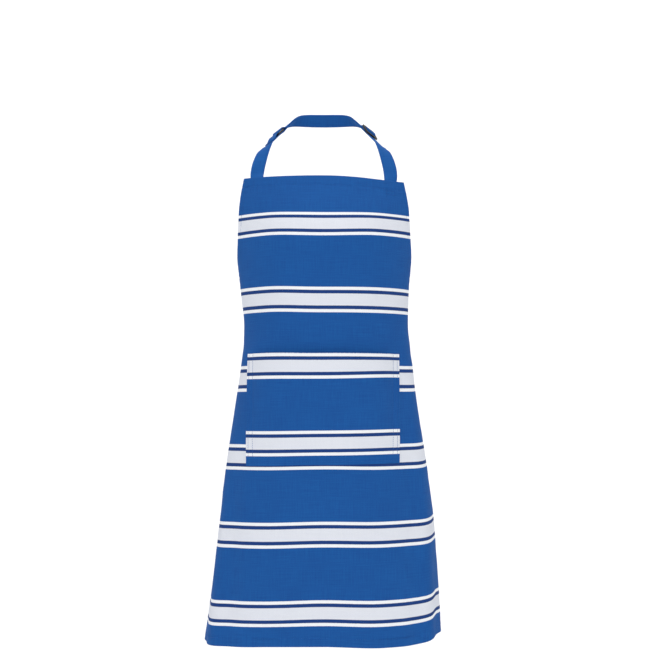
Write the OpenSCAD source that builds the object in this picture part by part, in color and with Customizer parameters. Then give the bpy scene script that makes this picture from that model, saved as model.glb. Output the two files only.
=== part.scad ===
// Butcher apron in striped cotton, hanging from its neck strap in the shape it takes when worn.
// Millimetres, +Z up, the front faces -Y and +X is the wearer's left.
// The origin is the point at the back of the neck where the neck strap bears.
// The cloth is laid out on flat coordinates: u runs across the panel from its centre line and v
// runs down from the bib edge. cloth_at(u, v, out) wraps that flat sheet round the body.

/* [Main panel] */
// Length from the bib edge to the bottom hem
apron_len = 834; // [780:1:900]
// Width of the flat panel below the armholes
apron_w = 711; // [690:1:720]
// Width of the flat panel at the bib edge
bib_w = 308; // [290:1:315]
// Length of the armholes, from the bib edge to the tie corners
armhole_len = 272; // [260:1:285]
// Thickness of the cloth
cloth_t = 1.2; // [1:0.1:1.5]
// Drop of the bib edge below the back of the neck
neck_drop = 127.6; // [118:0.1:138]

/* [Pocket] */
// Width of the flat pocket
pocket_w = 300; // [280:1:306]
// Height of the pocket
pocket_h = 197; // [170:1:200]
// Distance from the bib edge to the pocket mouth
pocket_at = 323; // [315:1:335]
// How far the middle of the pocket stands off the panel
pocket_belly = 10; // [9:0.5:12]

/* [Neck strap] */
// Width of the neck straps and of the waist ties
strap_w = 25.4; // [24:0.1:26]
// Thickness of a folded and sewn strap
strap_t = 1.6; // [1.4:0.1:1.8]
// Length of strap sewn behind the bib edge
strap_sewn = 30; // [26:1:36]
// Free width between the side bars of the ring and of the slider
hardware_gap = 27; // [26.5:0.1:28]
// Diameter of the ring's wire
ring_wire = 3.4; // [2.8:0.1:3.6]
// Length of the ring along the strap, between its bars' centres
ring_len = 17; // [16:0.5:18]
// Length of the slider along the strap
slider_len = 24; // [23:0.5:26]
// Thickness of the slider's frame
slider_t = 3.2; // [2.4:0.1:3.4]

/* [Waist ties] */
// Length of the hanging tails below the bow
tail_len = 420; // [380:5:440]
// Length of each bow loop
loop_len = 96; // [85:1:105]

/* [Stitching] */
// Width of a sewn line
stitch_w = 0.9; // [0.8:0.1:1.2]
// Height that a sewn line stands above the cloth
stitch_h = 0.35; // [0.3:0.05:0.5]
// Distance of the hem stitching from the folded edge
hem_w = 8; // [6:0.5:10]
// Distance of the mouth's stitching below the pocket mouth
mouth_stitch = 8.6; // [8:0.2:20]
// Distance of the pocket's outer row of stitching from its edge
pocket_row_out = 5; // [3.5:0.5:6]
// Distance of the pocket's inner row of stitching from its edge
pocket_row_in = 15; // [10:0.5:16]

/* [Hidden] */

blue = [0.13, 0.34, 0.62];
thread_blue = [0.16, 0.38, 0.66];
black = [0.05, 0.05, 0.055];

// Gap kept between neighbouring pieces of cloth
air = 0.35;
panel_cols = 32;
z_bib = -neck_drop;

// Cross-section of the wrapped panel at a few heights, as shares of apron_len below the bib edge:
// half width, depth in front of the side plane, depth behind it and radius at the sides.
side_plane = -75;
section_at = [0, 0.14, 0.24, 0.335, 0.42, 0.65, 1];
section_half = [160, 166, 155, 148.5, 156.5, 186, 220];
section_front = [68, 111, 108, 103, 104, 110, 115];
section_back = [92, 90, 84, 78, 86, 106, 126];
section_side = [25, 50, 49, 48, 52, 60, 76];
// The chest leans back above the bust, which takes this much height from the flat length
bust_at = 115;
lean_loss = 5.6;
// How far the two corners of the bib edge and the right-hand side of the hem hang low
bib_sag_left = 6;
bib_sag_right = -1;
bib_sag_depth = 110;
hem_sag = 12;
// Flat distance from the centre line at which the hem hangs its full sag
sag_reach = 280;

function sum_to(list, i) = i < 0 ? 0 : list[i] + sum_to(list, i - 1);
function unit(a) = a / norm(a);
function mix(a, b, t) = a + (b - a) * t;
function ease(t) = let(c = min(1, max(0, t))) c * c * (3 - 2 * c);

// Smooth curve through the points (xs, ys), with the slope at each point taken from its neighbours
function span_of(x, xs, i = 0) = i >= len(xs) - 2 || x < xs[i + 1] ? i : span_of(x, xs, i + 1);
function slope_at(xs, ys, i) =
    let(a = max(0, i - 1), b = min(len(xs) - 1, i + 1)) (ys[b] - ys[a]) / (xs[b] - xs[a]);
function smooth(x, xs, ys) =
    let(i = span_of(x, xs), w = xs[i + 1] - xs[i], t = (x - xs[i]) / w,
        m0 = slope_at(xs, ys, i) * w, m1 = slope_at(xs, ys, i + 1) * w)
    (2 * t ^ 3 - 3 * t ^ 2 + 1) * ys[i] + (t ^ 3 - 2 * t ^ 2 + t) * m0
    + (3 * t ^ 2 - 2 * t ^ 3) * ys[i + 1] + (t ^ 3 - t ^ 2) * m1;

// Half width of the flat panel at v: a nearly straight armhole edge that sweeps out to the tie corner
armhole_slope = 0.28;
armhole_power = 6;
function flat_half(v) =
    v >= armhole_len ? apron_w / 2
    : bib_w / 2 + armhole_slope * v
      + (apron_w / 2 - bib_w / 2 - armhole_slope * armhole_len) * (v / armhole_len) ^ armhole_power;

// Radius and end angle of the flatter arc of an oval half with half width a, depth d and side radius r
function long_radius(a, d, r) = (a * a + d * d - 2 * a * r) / (2 * (d - r));
function long_angle(a, r, radius) = asin((a - r) / (radius - r));
function arc_mm(radius, degrees) = radius * degrees * PI / 180;

// Point and outward normal of the oval at the distance s from its front centre: [x, y, nx, ny]
function oval_at(s, a, d, e, r) =
    let(rf = long_radius(a, d, r), af = long_angle(a, r, rf), rb = long_radius(a, e, r),
        ab = long_angle(a, r, rb), front = arc_mm(rf, af), side = arc_mm(r, 180 - af - ab),
        w = s / rf * 180 / PI, q = af + (s - front) / r * 180 / PI,
        p = ab - (s - front - side) / rb * 180 / PI)
    s < front ? [rf * sin(w), side_plane - d + rf * (1 - cos(w)), sin(w), -cos(w)]
    : s < front + side ? [a - r + r * sin(q), side_plane - r * cos(q), sin(q), -cos(q)]
    : [rb * sin(p), side_plane + e - rb * (1 - cos(p)), sin(p), cos(p)];

// How far the point (u, v) hangs below its level on a perfectly straight apron
function sag(u, v) =
    hem_sag * ease(-u / sag_reach) * (v / apron_len) ^ 2
    + (u < 0 ? bib_sag_right : bib_sag_left)
      * ease(abs(u) / (bib_w / 2)) * (1 - ease(v / bib_sag_depth));

// The flat point (u, v) on the worn apron, moved out by the distance out
function oval_of(u, v) =
    let(t = v / apron_len)
    oval_at(abs(u), smooth(t, section_at, section_half), smooth(t, section_at, section_front),
            smooth(t, section_at, section_back), smooth(t, section_at, section_side));
function cloth_normal(u, v) = let(o = oval_of(u, v)) [(u < 0 ? -1 : 1) * o[2], o[3], 0];
function cloth_at(u, v, out = 0) =
    let(o = oval_of(u, v), side = u < 0 ? -1 : 1)
    [side * (o[0] + o[2] * out), o[1] + o[3] * out, z_bib - v + lean_loss * ease(v / bust_at) - sag(u, v)];

// A closed sheet between two grids of points with the same rows and columns
module sheet(outer, inner) {
    rows = len(outer);
    cols = len(outer[0]);
    back = rows * cols;
    function at(i, j) = i * cols + j;
    polyhedron(
        points = concat([for (row = outer) each row], [for (row = inner) each row]),
        faces = concat(
            [for (i = [0:rows - 2], j = [0:cols - 2]) each [
                [at(i, j), at(i, j + 1), at(i + 1, j + 1)], [at(i, j), at(i + 1, j + 1), at(i + 1, j)]]],
            [for (i = [0:rows - 2], j = [0:cols - 2]) each [
                [back + at(i, j), back + at(i + 1, j + 1), back + at(i, j + 1)],
                [back + at(i, j), back + at(i + 1, j), back + at(i + 1, j + 1)]]],
            [for (j = [0:cols - 2]) each [
                [at(0, j), back + at(0, j), back + at(0, j + 1)],
                [at(0, j), back + at(0, j + 1), at(0, j + 1)],
                [at(rows - 1, j), back + at(rows - 1, j + 1), back + at(rows - 1, j)],
                [at(rows - 1, j), at(rows - 1, j + 1), back + at(rows - 1, j + 1)]]],
            [for (i = [0:rows - 2]) each [
                [at(i, 0), back + at(i + 1, 0), back + at(i, 0)],
                [at(i, 0), at(i + 1, 0), back + at(i + 1, 0)],
                [at(i, cols - 1), back + at(i, cols - 1), back + at(i + 1, cols - 1)],
                [at(i, cols - 1), back + at(i + 1, cols - 1), at(i + 1, cols - 1)]]]));
}

// A flat band along a path. across points along the band's width at each point of the path.
function tangent(path, i) = unit(path[min(i + 1, len(path) - 1)] - path[max(i - 1, 0)]);
function square_to(a, t) = unit(a - (a * t) * t);
module band(path, across, w, t) {
    last = len(path) - 1;
    wide = [for (i = [0:last]) square_to(across[i], tangent(path, i))];
    up = [for (i = [0:last]) cross(tangent(path, i), wide[i])];
    function edge(side, level) =
        [for (i = [0:last]) path[i] + wide[i] * side * w / 2 + up[i] * level * t / 2];
    sheet([edge(1, 1), edge(-1, 1)], [edge(1, -1), edge(-1, -1)]);
}

// Smooth path through points chosen by hand, with steps points to a span
function spline(points, steps) =
    let(n = len(points), gaps = [for (k = [0:n - 1]) k == 0 ? 0 : norm(points[k] - points[k - 1])],
        at = [for (i = [0:n - 1]) sum_to(gaps, i)])
    [for (i = [0:n - 2], k = [0:steps - 1]) smooth(mix(at[i], at[i + 1], k / steps), at, points),
     points[n - 1]];

/* The main panel and its pocket */

panel_rows = concat([for (t = [0:1 / 14:1.001]) armhole_len * (1 - (1 - t) ^ 1.25)],
                    [for (t = [1 / 16:1 / 16:1.001]) mix(armhole_len, apron_len, t)]);
function panel_grid(out) = [for (v = panel_rows) [for (j = [0:panel_cols])
    cloth_at(flat_half(v) * (2 * j / panel_cols - 1), v, out)]];

module body_panel() {
    color(blue) sheet(panel_grid(cloth_t), panel_grid(0));
}

// How far the pocket's inner face stands off the outer face of the panel at u and at the share t
// of the pocket's height
function pocket_gap(u, t) = air + pocket_belly * (1 - (2 * u / pocket_w) ^ 4) * (1 - t ^ 3);
function pocket_grid(out) = [for (i = [0:10]) [for (j = [0:16])
    let(u = pocket_w * (j / 16 - 0.5), t = i / 10)
    cloth_at(u, pocket_at + pocket_h * t, cloth_t + pocket_gap(u, t) + out)]];

module pocket_panel() {
    color(blue) sheet(pocket_grid(cloth_t), pocket_grid(0));
}

/* The neck strap: a short strap with a ring on -X and a long strap with a slider on +X */

// Route of the middle of a strap on +X, from the bib edge over the shoulder to the neck's side
strap_u = 127;
// A flat strap behind the curved bib touches it only along its middle
behind_bib = 1;
shoulder = [105, -72, z_bib + 66.6];
neck_side = [74, -26, z_bib + 108.1];
// Shares of the way from the shoulder to the neck's side at which the slider and the ring sit
slider_share = 0.7;
ring_share = 0.58;
hardware = mix(shoulder, neck_side, slider_share);
front_run = [[121.5, -104, z_bib + 9.6], [119, -98, z_bib + 26.6], [112, -86, z_bib + 51.6]];
along = unit(neck_side - shoulder);
// The outward direction of a strap that runs along t, turned by the angle a from facing front
function faced(t, a) = let(f = square_to([0, -1, 0], t)) f * cos(a) + cross(t, f) * sin(a);
side_turn = 72;
out_side = faced(along, side_turn);
wide_side = cross(out_side, along);
wide_bib = unit([-0.866, -0.5, 0]);
wide_nape = [0, -0.6, 0.8];
nape_normal = [0, 0.8, 0.6];
// Level of the doubled layer's middle above the inner layer's middle
second_level = strap_t + air;

function mirrored(p) = [-p[0], p[1], p[2]];
function on_side(side, p) = side > 0 ? p : mirrored(p);
function sewn_at(side, v) = cloth_at(side * strap_u, v, -behind_bib - strap_t / 2);

// Front run of a strap: sewn behind the bib edge, then up over the shoulder. The strap turns from
// facing front to facing sideways, by these angles from the bib edge to the shoulder, and ends a
// little past the shoulder
front_turn = [12, 14, 33, 58];
front_steps = 4;
run_on = 8;
function front_points(side) =
    concat([for (v = [strap_sewn, strap_sewn / 2, 1]) sewn_at(side, v)],
           [for (p = concat(front_run, [shoulder, shoulder + along * run_on])) on_side(side, p)]);
front_across = let(p = front_points(1))
    concat(repeat(wide_bib, 3), [for (i = [3:6]) let(t = unit(p[i + 1] - p[i - 1]))
           cross(faced(t, front_turn[i - 3]), t)], [wide_side]);
function front_path(side) = spline(front_points(side), front_steps);
function front_wide(side) =
    [for (i = [0:len(front_path(side)) - 1])
        on_side(side, smooth(i / front_steps, [for (k = [0:7]) k], front_across))];

// The arc round the back of the neck; s runs from 0 on +X to 2 on -X
nape_steps = 20;
nape_lead = 38;
nape_flat = 46;
function nape_half(t) =
    let(a = neck_side, b = a + along * nape_lead, d = nape_normal * strap_t / 2, c = d + [nape_flat, 0, 0])
    (1 - t) ^ 3 * a + 3 * (1 - t) ^ 2 * t * b + 3 * (1 - t) * t ^ 2 * c + t ^ 3 * d;
function nape_point(s) = s <= 1 ? nape_half(s) : mirrored(nape_half(2 - s));
function nape_out(s) =
    s <= 1 ? unit(mix(out_side, nape_normal, ease(s))) : mirrored(nape_out(2 - s));
function nape_wide(s) =
    s <= 1 ? unit(mix(wide_side, wide_nape, ease(s))) : mirrored(nape_wide(2 - s));
function nape_path(level) = [for (i = [0:nape_steps]) let(s = 2 * i / nape_steps)
    nape_point(s) + nape_out(s) * level];
function nape_across() = [for (i = [0:nape_steps]) nape_wide(2 * i / nape_steps)];

// A turn round a bar's centre, from the angle from to the angle to; 90 degrees lies outwards
function turn(centre, way, out, radius, from, to, steps) = [for (i = [0:steps])
    let(w = mix(from, to, i / steps)) centre + way * radius * cos(w) + out * radius * sin(w)];
function repeat(a, n) = [for (i = [1:n]) a];

// The ring joins the two straps on -X
ring_way = mirrored(along);
ring_out = mirrored(out_side);
ring_wide = mirrored(wide_side);
bar_level = strap_t / 2 + air + ring_wire / 2;
// The ring sits a little lower on its side of the neck than the slider does
ring_middle = mirrored(mix(shoulder, neck_side, ring_share)) + ring_out * bar_level;
ring_low = ring_middle - ring_way * ring_len / 2;
ring_high = ring_middle + ring_way * ring_len / 2;
// Extra room in the long strap's loop, so that the ring can tip in it
tip_room = 1.3;
low_loop = bar_level;
high_loop = bar_level + tip_room;
loop_steps = 8;
loop_fold = 22;

module neck_strap_short() {
    run = front_path(-1);
    last = run[len(run) - 1];
    foot = ring_low - ring_out * low_loop;
    path = concat(run, [for (t = [0.4, 0.8]) mix(last, foot, t)],
                  turn(ring_low, ring_way, ring_out, low_loop, -90, 90, loop_steps),
                  [for (s = [0.3, 0.65, 1]) ring_low + ring_out * (low_loop - (2 * low_loop - second_level)
                   * ease(s * 1.5)) - ring_way * loop_fold * s]);
    color(blue) band(path, concat(front_wide(-1), repeat(ring_wide, loop_steps + 6)), strap_w, strap_t);
}

// The slider lies on the strap on +X, tipped so that its upper bar clears the folded end
slider_tip = 11;
slider_bar = 3.2;
slider_level = strap_t * 1.5 + 2 * air + slider_t / 2;
slider_middle = hardware + out_side * slider_level;
end_loop = slider_t / 2 + air + strap_t / 2 + 0.35;
// The doubled layer ends this far above the slider's middle, where the end loop takes over
end_reach = 17;

module neck_strap_long() {
    run = front_path(1);
    last = run[len(run) - 1];
    seconds = nape_path(second_level);
    back = [for (i = [nape_steps:-1:0]) seconds[i]];
    foot = ring_high - ring_out * high_loop;
    start = mirrored(neck_side);
    end = hardware + along * (end_reach + 0.6) + out_side * second_level;
    path = concat(run, [mix(last, hardware, 0.5), hardware, mix(hardware, neck_side, 0.5)],
                  nape_path(0), [mix(start, foot, 0.3), mix(start, foot, 0.7)],
                  turn(ring_high, ring_way, ring_out, high_loop, 270, 90, loop_steps),
                  [ring_high + ring_way * 5 + ring_out * (high_loop * 0.8),
                   ring_high + ring_way * 13 + ring_out * (second_level - bar_level)], back, [end]);
    across = concat(front_wide(1), repeat(wide_side, 3), nape_across(),
                    repeat(ring_wide, loop_steps + 5), [for (i = [nape_steps:-1:0]) nape_across()[i]],
                    [wide_side]);
    color(blue) band(path, across, strap_w, strap_t);
}

module strap_end_loop() {
    low = hardware + out_side * second_level;
    turned = turn(slider_middle, along, out_side, end_loop, 240, 75, 8);
    third = second_level + strap_t + air;
    path = concat([low + along * end_reach, low + along * 9, low + along * 4], turned,
                  [hardware + along * 5.2 + out_side * (slider_level + 2.4),
                   hardware + along * 7.6 + out_side * (third + 0.35),
                   hardware + along * 10 + out_side * third,
                   hardware + along * end_reach + out_side * third]);
    color(blue) band(path, repeat(wide_side, len(path)), strap_w, strap_t);
}

// Places a shape drawn with X along the strap, Y across it and Z outwards
module placed(centre, way, out) {
    side = cross(out, way);
    multmatrix([[way[0], side[0], out[0], centre[0]], [way[1], side[1], out[1], centre[1]],
                [way[2], side[2], out[2], centre[2]], [0, 0, 0, 1]]) children();
}

module strap_ring() {
    bend = 3;
    half = hardware_gap / 2 + ring_wire / 2;
    color(black) placed(ring_middle, ring_way, ring_out) {
        for (end = [-1, 1]) {
            translate([end * ring_len / 2, 0, 0]) rotate([90, 0, 0])
                cylinder(h = 2 * (half - bend), d = ring_wire, center = true, $fn = 32);
            translate([0, end * half, 0]) rotate([0, 90, 0])
                cylinder(h = ring_len - 2 * bend, d = ring_wire, center = true, $fn = 32);
        }
        for (q = [0:3]) let(x = q == 0 || q == 3 ? 1 : -1, y = q < 2 ? 1 : -1)
            translate([x * (ring_len / 2 - bend), y * (half - bend), 0]) rotate([0, 0, 90 * q])
                rotate_extrude(angle = 90, $fn = 48) translate([bend, 0]) circle(d = ring_wire, $fn = 32);
    }
}

module rounded_plate(x, y, r) {
    square([x - 2 * r, y], center = true);
    square([x, y - 2 * r], center = true);
    for (i = [-1, 1], j = [-1, 1]) translate([i * (x / 2 - r), j * (y / 2 - r)]) circle(r = r, $fn = 32);
}

module strap_slider() {
    outer = hardware_gap + 2 * slider_bar;
    slot = (slider_len - 3 * slider_bar) / 2;
    tipped_way = along * cos(slider_tip) + out_side * sin(slider_tip);
    tipped_out = out_side * cos(slider_tip) - along * sin(slider_tip);
    color(black) placed(slider_middle, tipped_way, tipped_out)
        translate([0, 0, -slider_t / 2]) linear_extrude(slider_t) difference() {
            rounded_plate(slider_len, outer, 3);
            for (side = [-1, 1]) translate([side * (slot + slider_bar) / 2, 0])
                square([slot, hardware_gap], center = true);
        }
}

/* The waist ties, tied in a bow over the gap at the back */

tie_v = armhole_len + 16;
tie_u = apron_w / 2;
tie_sewn = 30;
knot_z = z_bib - tie_v - 4;
// Route of the left tie's bow loop from the knot and back, and of its tail, about the knot's middle
loop_route = [[-3, 15, 0], [30, 17, 6], [66, 19, 3], [loop_len - 6, 21, -9], [loop_len, 25, -12],
              [loop_len - 7, 29.5, -12], [62, 29, -6], [30, 28, -2], [9, 28, 0]];
tail_route = [[-4, 28.5, -6], [-11, 29, -20], [-15, 28, -44], [-20, 25, -tail_len * 0.35],
              [-27, 21, -tail_len * 0.7], [-33, 19, -tail_len]];

function tie_path(side, lift) =
    let(sewn = [for (du = [tie_sewn, tie_sewn / 2, 1])
            cloth_at(side * (tie_u - du), tie_v, -air - strap_t / 2)],
        lead = [[side * 13, 6.5 + lift / 2, knot_z + 1]],
        bow = [for (p = loop_route) [-side * p[0], p[1] + lift, p[2] + knot_z]],
        tail = [for (p = tail_route) [-side * p[0], p[1] + lift, p[2] + knot_z]])
    spline(concat(sewn, lead, bow, tail), 3);
function tie_across(side, n) =
    let(bend = 3 * 12 / (3 * 17))
    [for (i = [0:n - 1]) let(t = i / (n - 1))
        mix([0, 0, 1], [side, 0, 0], ease((t - bend + 0.04) / 0.1))];

module tie(side, lift) {
    path = tie_path(side, lift);
    band(path, tie_across(side, len(path)), strap_w, strap_t);
}

module waist_tie_left() {
    color(blue) tie(1, 3.4);
}

module waist_tie_right() {
    color(blue) tie(-1, 0);
}

/* The stitching: each sewn line is a low ridge that follows the cloth */

// A sewn line through flat points [u, v], on a sheet whose outer face is out above the panel's
module seam(points, out) {
    path = [for (p = points) cloth_at(p[0], p[1], out)];
    across = [for (i = [0:len(path) - 1]) cross(cloth_normal(points[i][0], points[i][1]), tangent(path, i))];
    color(thread_blue) band(path, across, stitch_w, 2 * stitch_h);
}

function row(u0, u1, v, n) = [for (i = [0:n]) [mix(u0, u1, i / n), v]];
function column(u, v0, v1, n) = [for (i = [0:n]) [u, mix(v0, v1, i / n)]];

module bib_hem_stitching() {
    seam(row(-bib_w / 2 + 1, bib_w / 2 - 1, 17, 16), cloth_t);
}

module armhole_stitching(side) {
    seam([for (t = [0.02:0.06:0.981]) let(v = armhole_len * (1 - (1 - t) ^ 1.6))
          [side * (flat_half(v) - hem_w * (1 + 0.4 * t)), v + hem_w * 0.9 * t ^ 4]], cloth_t);
}

module armhole_stitching_left() {
    armhole_stitching(1);
}

module armhole_stitching_right() {
    armhole_stitching(-1);
}

module side_hem_stitching_left() {
    seam(column(apron_w / 2 - hem_w, armhole_len + 6, apron_len - 4, 18), cloth_t);
}

module side_hem_stitching_right() {
    seam(column(-apron_w / 2 + hem_w, armhole_len + 6, apron_len - 4, 18), cloth_t);
}

module bottom_hem_stitching() {
    seam(row(-apron_w / 2 + hem_w + 2, apron_w / 2 - hem_w - 2, apron_len - 14, 32), cloth_t);
}

// The two rows of topstitching round the pocket's sides and bottom, and the row along its mouth
function pocket_top(u, v) =
    cloth_at(u, v, 2 * cloth_t + pocket_gap(u, (v - pocket_at) / pocket_h));
module pocket_seam(points) {
    path = [for (p = points) pocket_top(p[0], p[1])];
    across = [for (i = [0:len(path) - 1]) cross(cloth_normal(points[i][0], points[i][1]), tangent(path, i))];
    color(thread_blue) band(path, across, stitch_w, 2 * stitch_h);
}
function pocket_round(inset) =
    let(u = pocket_w / 2 - inset, bottom = pocket_at + pocket_h - inset)
    concat(column(-u, pocket_at + 4, bottom - 3, 8), row(-u + 3, u - 3, bottom, 14),
           [for (p = column(u, bottom - 3, pocket_at + 4, 8)) p]);

module pocket_mouth_stitching() {
    reach = pocket_w / 2 - pocket_row_in - 4;
    pocket_seam(row(-reach, reach, pocket_at + mouth_stitch, 14));
}

module pocket_outer_stitching() {
    pocket_seam(pocket_round(pocket_row_out));
}

module pocket_inner_stitching() {
    pocket_seam(pocket_round(pocket_row_in));
}

// A square of stitching with its side open by one stitch, drawn on the cloth at (u, v)
function box_round(w, h) =
    [[-w / 2, h / 2 - 2], [-w / 2, -h / 2 + 1], [-w / 2 + 1, -h / 2], [w / 2 - 1, -h / 2],
     [w / 2, -h / 2 + 1], [w / 2, h / 2 - 1], [w / 2 - 1, h / 2], [-w / 2 + 2, h / 2]];
box_w = strap_w - 5;
// Height of a strap's box and its middle's distance from the bib edge
strap_box_h = 9;
strap_box_at = 25.5;
// Width of a tie's box and its middle's distance from the tie corner
tie_box_w = 15;
tie_box_in = 21;

module strap_box_stitching(side) {
    seam([for (p = box_round(box_w, strap_box_h)) [side * strap_u + p[0], strap_box_at + p[1]]], cloth_t);
}

module strap_box_stitching_left() {
    strap_box_stitching(1);
}

module strap_box_stitching_right() {
    strap_box_stitching(-1);
}

module tie_box_stitching(side) {
    seam([for (p = box_round(tie_box_w, box_w)) [side * (tie_u - tie_box_in) + p[0], tie_v + p[1]]], cloth_t);
}

module tie_box_stitching_left() {
    tie_box_stitching(1);
}

module tie_box_stitching_right() {
    tie_box_stitching(-1);
}

// The tacks that close the loops round the ring and round the slider's middle bar: their lengths and
// how far their middles lie from the cut ends
ring_tack_len = 8;
ring_tack_in = 5.5;
slider_tack_len = 5.2;
slider_tack_in = 3.1;
module tack(middle, way, out, length) {
    wide = cross(out, way);
    path = [for (p = box_round(box_w, length)) middle + wide * p[0] + way * p[1]];
    color(thread_blue) band(path, [for (i = [0:len(path) - 1]) cross(out, tangent(path, i))],
                            stitch_w, 2 * stitch_h);
}

module ring_loop_stitching() {
    level = second_level - bar_level + strap_t / 2;
    tack(ring_low - ring_way * (loop_fold - ring_tack_in) + ring_out * level,
         ring_way, ring_out, ring_tack_len);
}

module slider_loop_stitching() {
    level = second_level + strap_t * 1.5 + air;
    tack(hardware + along * (end_reach - slider_tack_in) + out_side * level,
         along, out_side, slider_tack_len);
}

body_panel();
pocket_panel();
neck_strap_short();
neck_strap_long();
strap_end_loop();
strap_ring();
strap_slider();
waist_tie_left();
waist_tie_right();
bib_hem_stitching();
armhole_stitching_left();
armhole_stitching_right();
side_hem_stitching_left();
side_hem_stitching_right();
bottom_hem_stitching();
pocket_mouth_stitching();
pocket_outer_stitching();
pocket_inner_stitching();
strap_box_stitching_left();
strap_box_stitching_right();
ring_loop_stitching();
slider_loop_stitching();
tie_box_stitching_left();
tie_box_stitching_right();
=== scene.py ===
"""Looks of the striped butcher apron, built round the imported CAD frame.

Metres in Blender, +Z up, the front faces -Y and +X is the wearer's left.
The shape functions work in millimetres on flat cloth coordinates, as the CAD source does:
u runs across the panel from its centre line and v runs down from the bib edge.
"""

import math

import bpy
import bmesh
import numpy as np
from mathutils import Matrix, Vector, noise


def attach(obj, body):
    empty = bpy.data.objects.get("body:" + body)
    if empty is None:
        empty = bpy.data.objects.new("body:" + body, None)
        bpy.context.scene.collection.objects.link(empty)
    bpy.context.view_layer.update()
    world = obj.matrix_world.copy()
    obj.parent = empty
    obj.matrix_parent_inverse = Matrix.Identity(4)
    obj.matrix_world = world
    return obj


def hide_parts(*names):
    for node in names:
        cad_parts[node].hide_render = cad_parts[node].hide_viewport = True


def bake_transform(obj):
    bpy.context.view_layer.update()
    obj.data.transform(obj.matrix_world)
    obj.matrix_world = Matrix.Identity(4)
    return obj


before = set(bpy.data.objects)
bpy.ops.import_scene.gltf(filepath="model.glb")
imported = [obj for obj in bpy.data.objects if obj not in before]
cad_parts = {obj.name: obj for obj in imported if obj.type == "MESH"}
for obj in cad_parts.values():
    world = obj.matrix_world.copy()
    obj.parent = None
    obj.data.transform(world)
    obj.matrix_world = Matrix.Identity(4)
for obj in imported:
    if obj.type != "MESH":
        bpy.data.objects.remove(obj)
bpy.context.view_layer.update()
MM = 0.001

# ---- sizes repeated from the CAD source, mm
APRON_LEN, APRON_W, BIB_W = 834.0, 711.0, 308.0
ARMHOLE_LEN, CLOTH_T, Z_BIB = 272.0, 1.2, -127.6
POCKET_W, POCKET_H, POCKET_AT, POCKET_BELLY = 300.0, 197.0, 323.0, 10.0
STRAP_W, STRAP_T, STRAP_SEWN, STRAP_U = 25.4, 1.6, 30.0, 127.0
HARDWARE_GAP, RING_WIRE, RING_LEN = 27.0, 3.4, 17.0
SLIDER_LEN, SLIDER_T, SLIDER_BAR, SLIDER_TIP = 24.0, 3.2, 3.2, 11.0
TAIL_LEN, LOOP_LEN, TIE_SEWN = 420.0, 96.0, 30.0
HEM_W, AIR = 8.0, 0.35
BIB_STITCH, BOTTOM_STITCH = 17.0, 14.0
POCKET_OUTER, POCKET_INNER, MOUTH_STITCH = 5.0, 15.0, 8.6
SIDE_PLANE = -75.0
SECTION_AT = [0, 0.14, 0.24, 0.335, 0.42, 0.65, 1]
SECTION_HALF = [160, 166, 155, 148.5, 156.5, 186, 220]
SECTION_FRONT = [68, 111, 108, 103, 104, 110, 115]
SECTION_BACK = [92, 90, 84, 78, 86, 106, 126]
SECTION_SIDE = [25, 50, 49, 48, 52, 60, 76]
SECTIONS = [SECTION_HALF, SECTION_FRONT, SECTION_BACK, SECTION_SIDE]
BUST_AT, LEAN_LOSS = 115.0, 5.6
BIB_SAG_LEFT, BIB_SAG_RIGHT, BIB_SAG_DEPTH = 6.0, -1.0, 110.0
HEM_SAG, SAG_REACH = 12.0, 280.0
ARMHOLE_SLOPE, ARMHOLE_POWER = 0.28, 6
ARMHOLE_SWEEP = APRON_W / 2 - BIB_W / 2 - ARMHOLE_SLOPE * ARMHOLE_LEN
TIE_U, TIE_V = APRON_W / 2, ARMHOLE_LEN + 16
SIDES = ((1, "left"), (-1, "right"))

# ---- shape functions


def ease(t):
    c = np.clip(t, 0.0, 1.0)
    return c * c * (3 - 2 * c)


def bell(x, width):
    return np.exp(-((x / width) ** 2))


def unit(a):
    """The vectors in a's last axis, at length 1."""
    a = np.asarray(a, float)
    return a / np.linalg.norm(a, axis=-1, keepdims=True)


def run_of(path):
    """Distance along a path at each of its points."""
    return np.concatenate([[0], np.cumsum(np.linalg.norm(np.diff(path, axis=0), axis=1))])


def smooth(x, xs, ys):
    """Smooth curve through the points (xs, ys), whose slope at each point comes from its neighbours."""
    x, xs, ys = np.asarray(x, float), np.asarray(xs, float), np.asarray(ys, float)
    n = len(xs)
    low, high = np.maximum(np.arange(n) - 1, 0), np.minimum(np.arange(n) + 1, n - 1)
    step = xs[high] - xs[low]
    slope = (ys[high] - ys[low]) / (step if ys.ndim == 1 else step[:, None])
    i = np.clip(np.searchsorted(xs, x, side="right") - 1, 0, n - 2)
    w = xs[i + 1] - xs[i]
    t = (x - xs[i]) / w
    if ys.ndim > 1:
        w, t = w[..., None], t[..., None]
    return (
        (2 * t**3 - 3 * t**2 + 1) * ys[i]
        + (t**3 - 2 * t**2 + t) * slope[i] * w
        + (3 * t**2 - 2 * t**3) * ys[i + 1]
        + (t**3 - t**2) * slope[i + 1] * w
    )


def flat_half(v):
    """Half width of the flat panel at v."""
    v = np.asarray(v, float)
    sweep = ARMHOLE_SWEEP * np.clip(v / ARMHOLE_LEN, 0, 1) ** ARMHOLE_POWER
    arm = BIB_W / 2 + ARMHOLE_SLOPE * v + sweep
    return np.where(v >= ARMHOLE_LEN, APRON_W / 2, arm)


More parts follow.
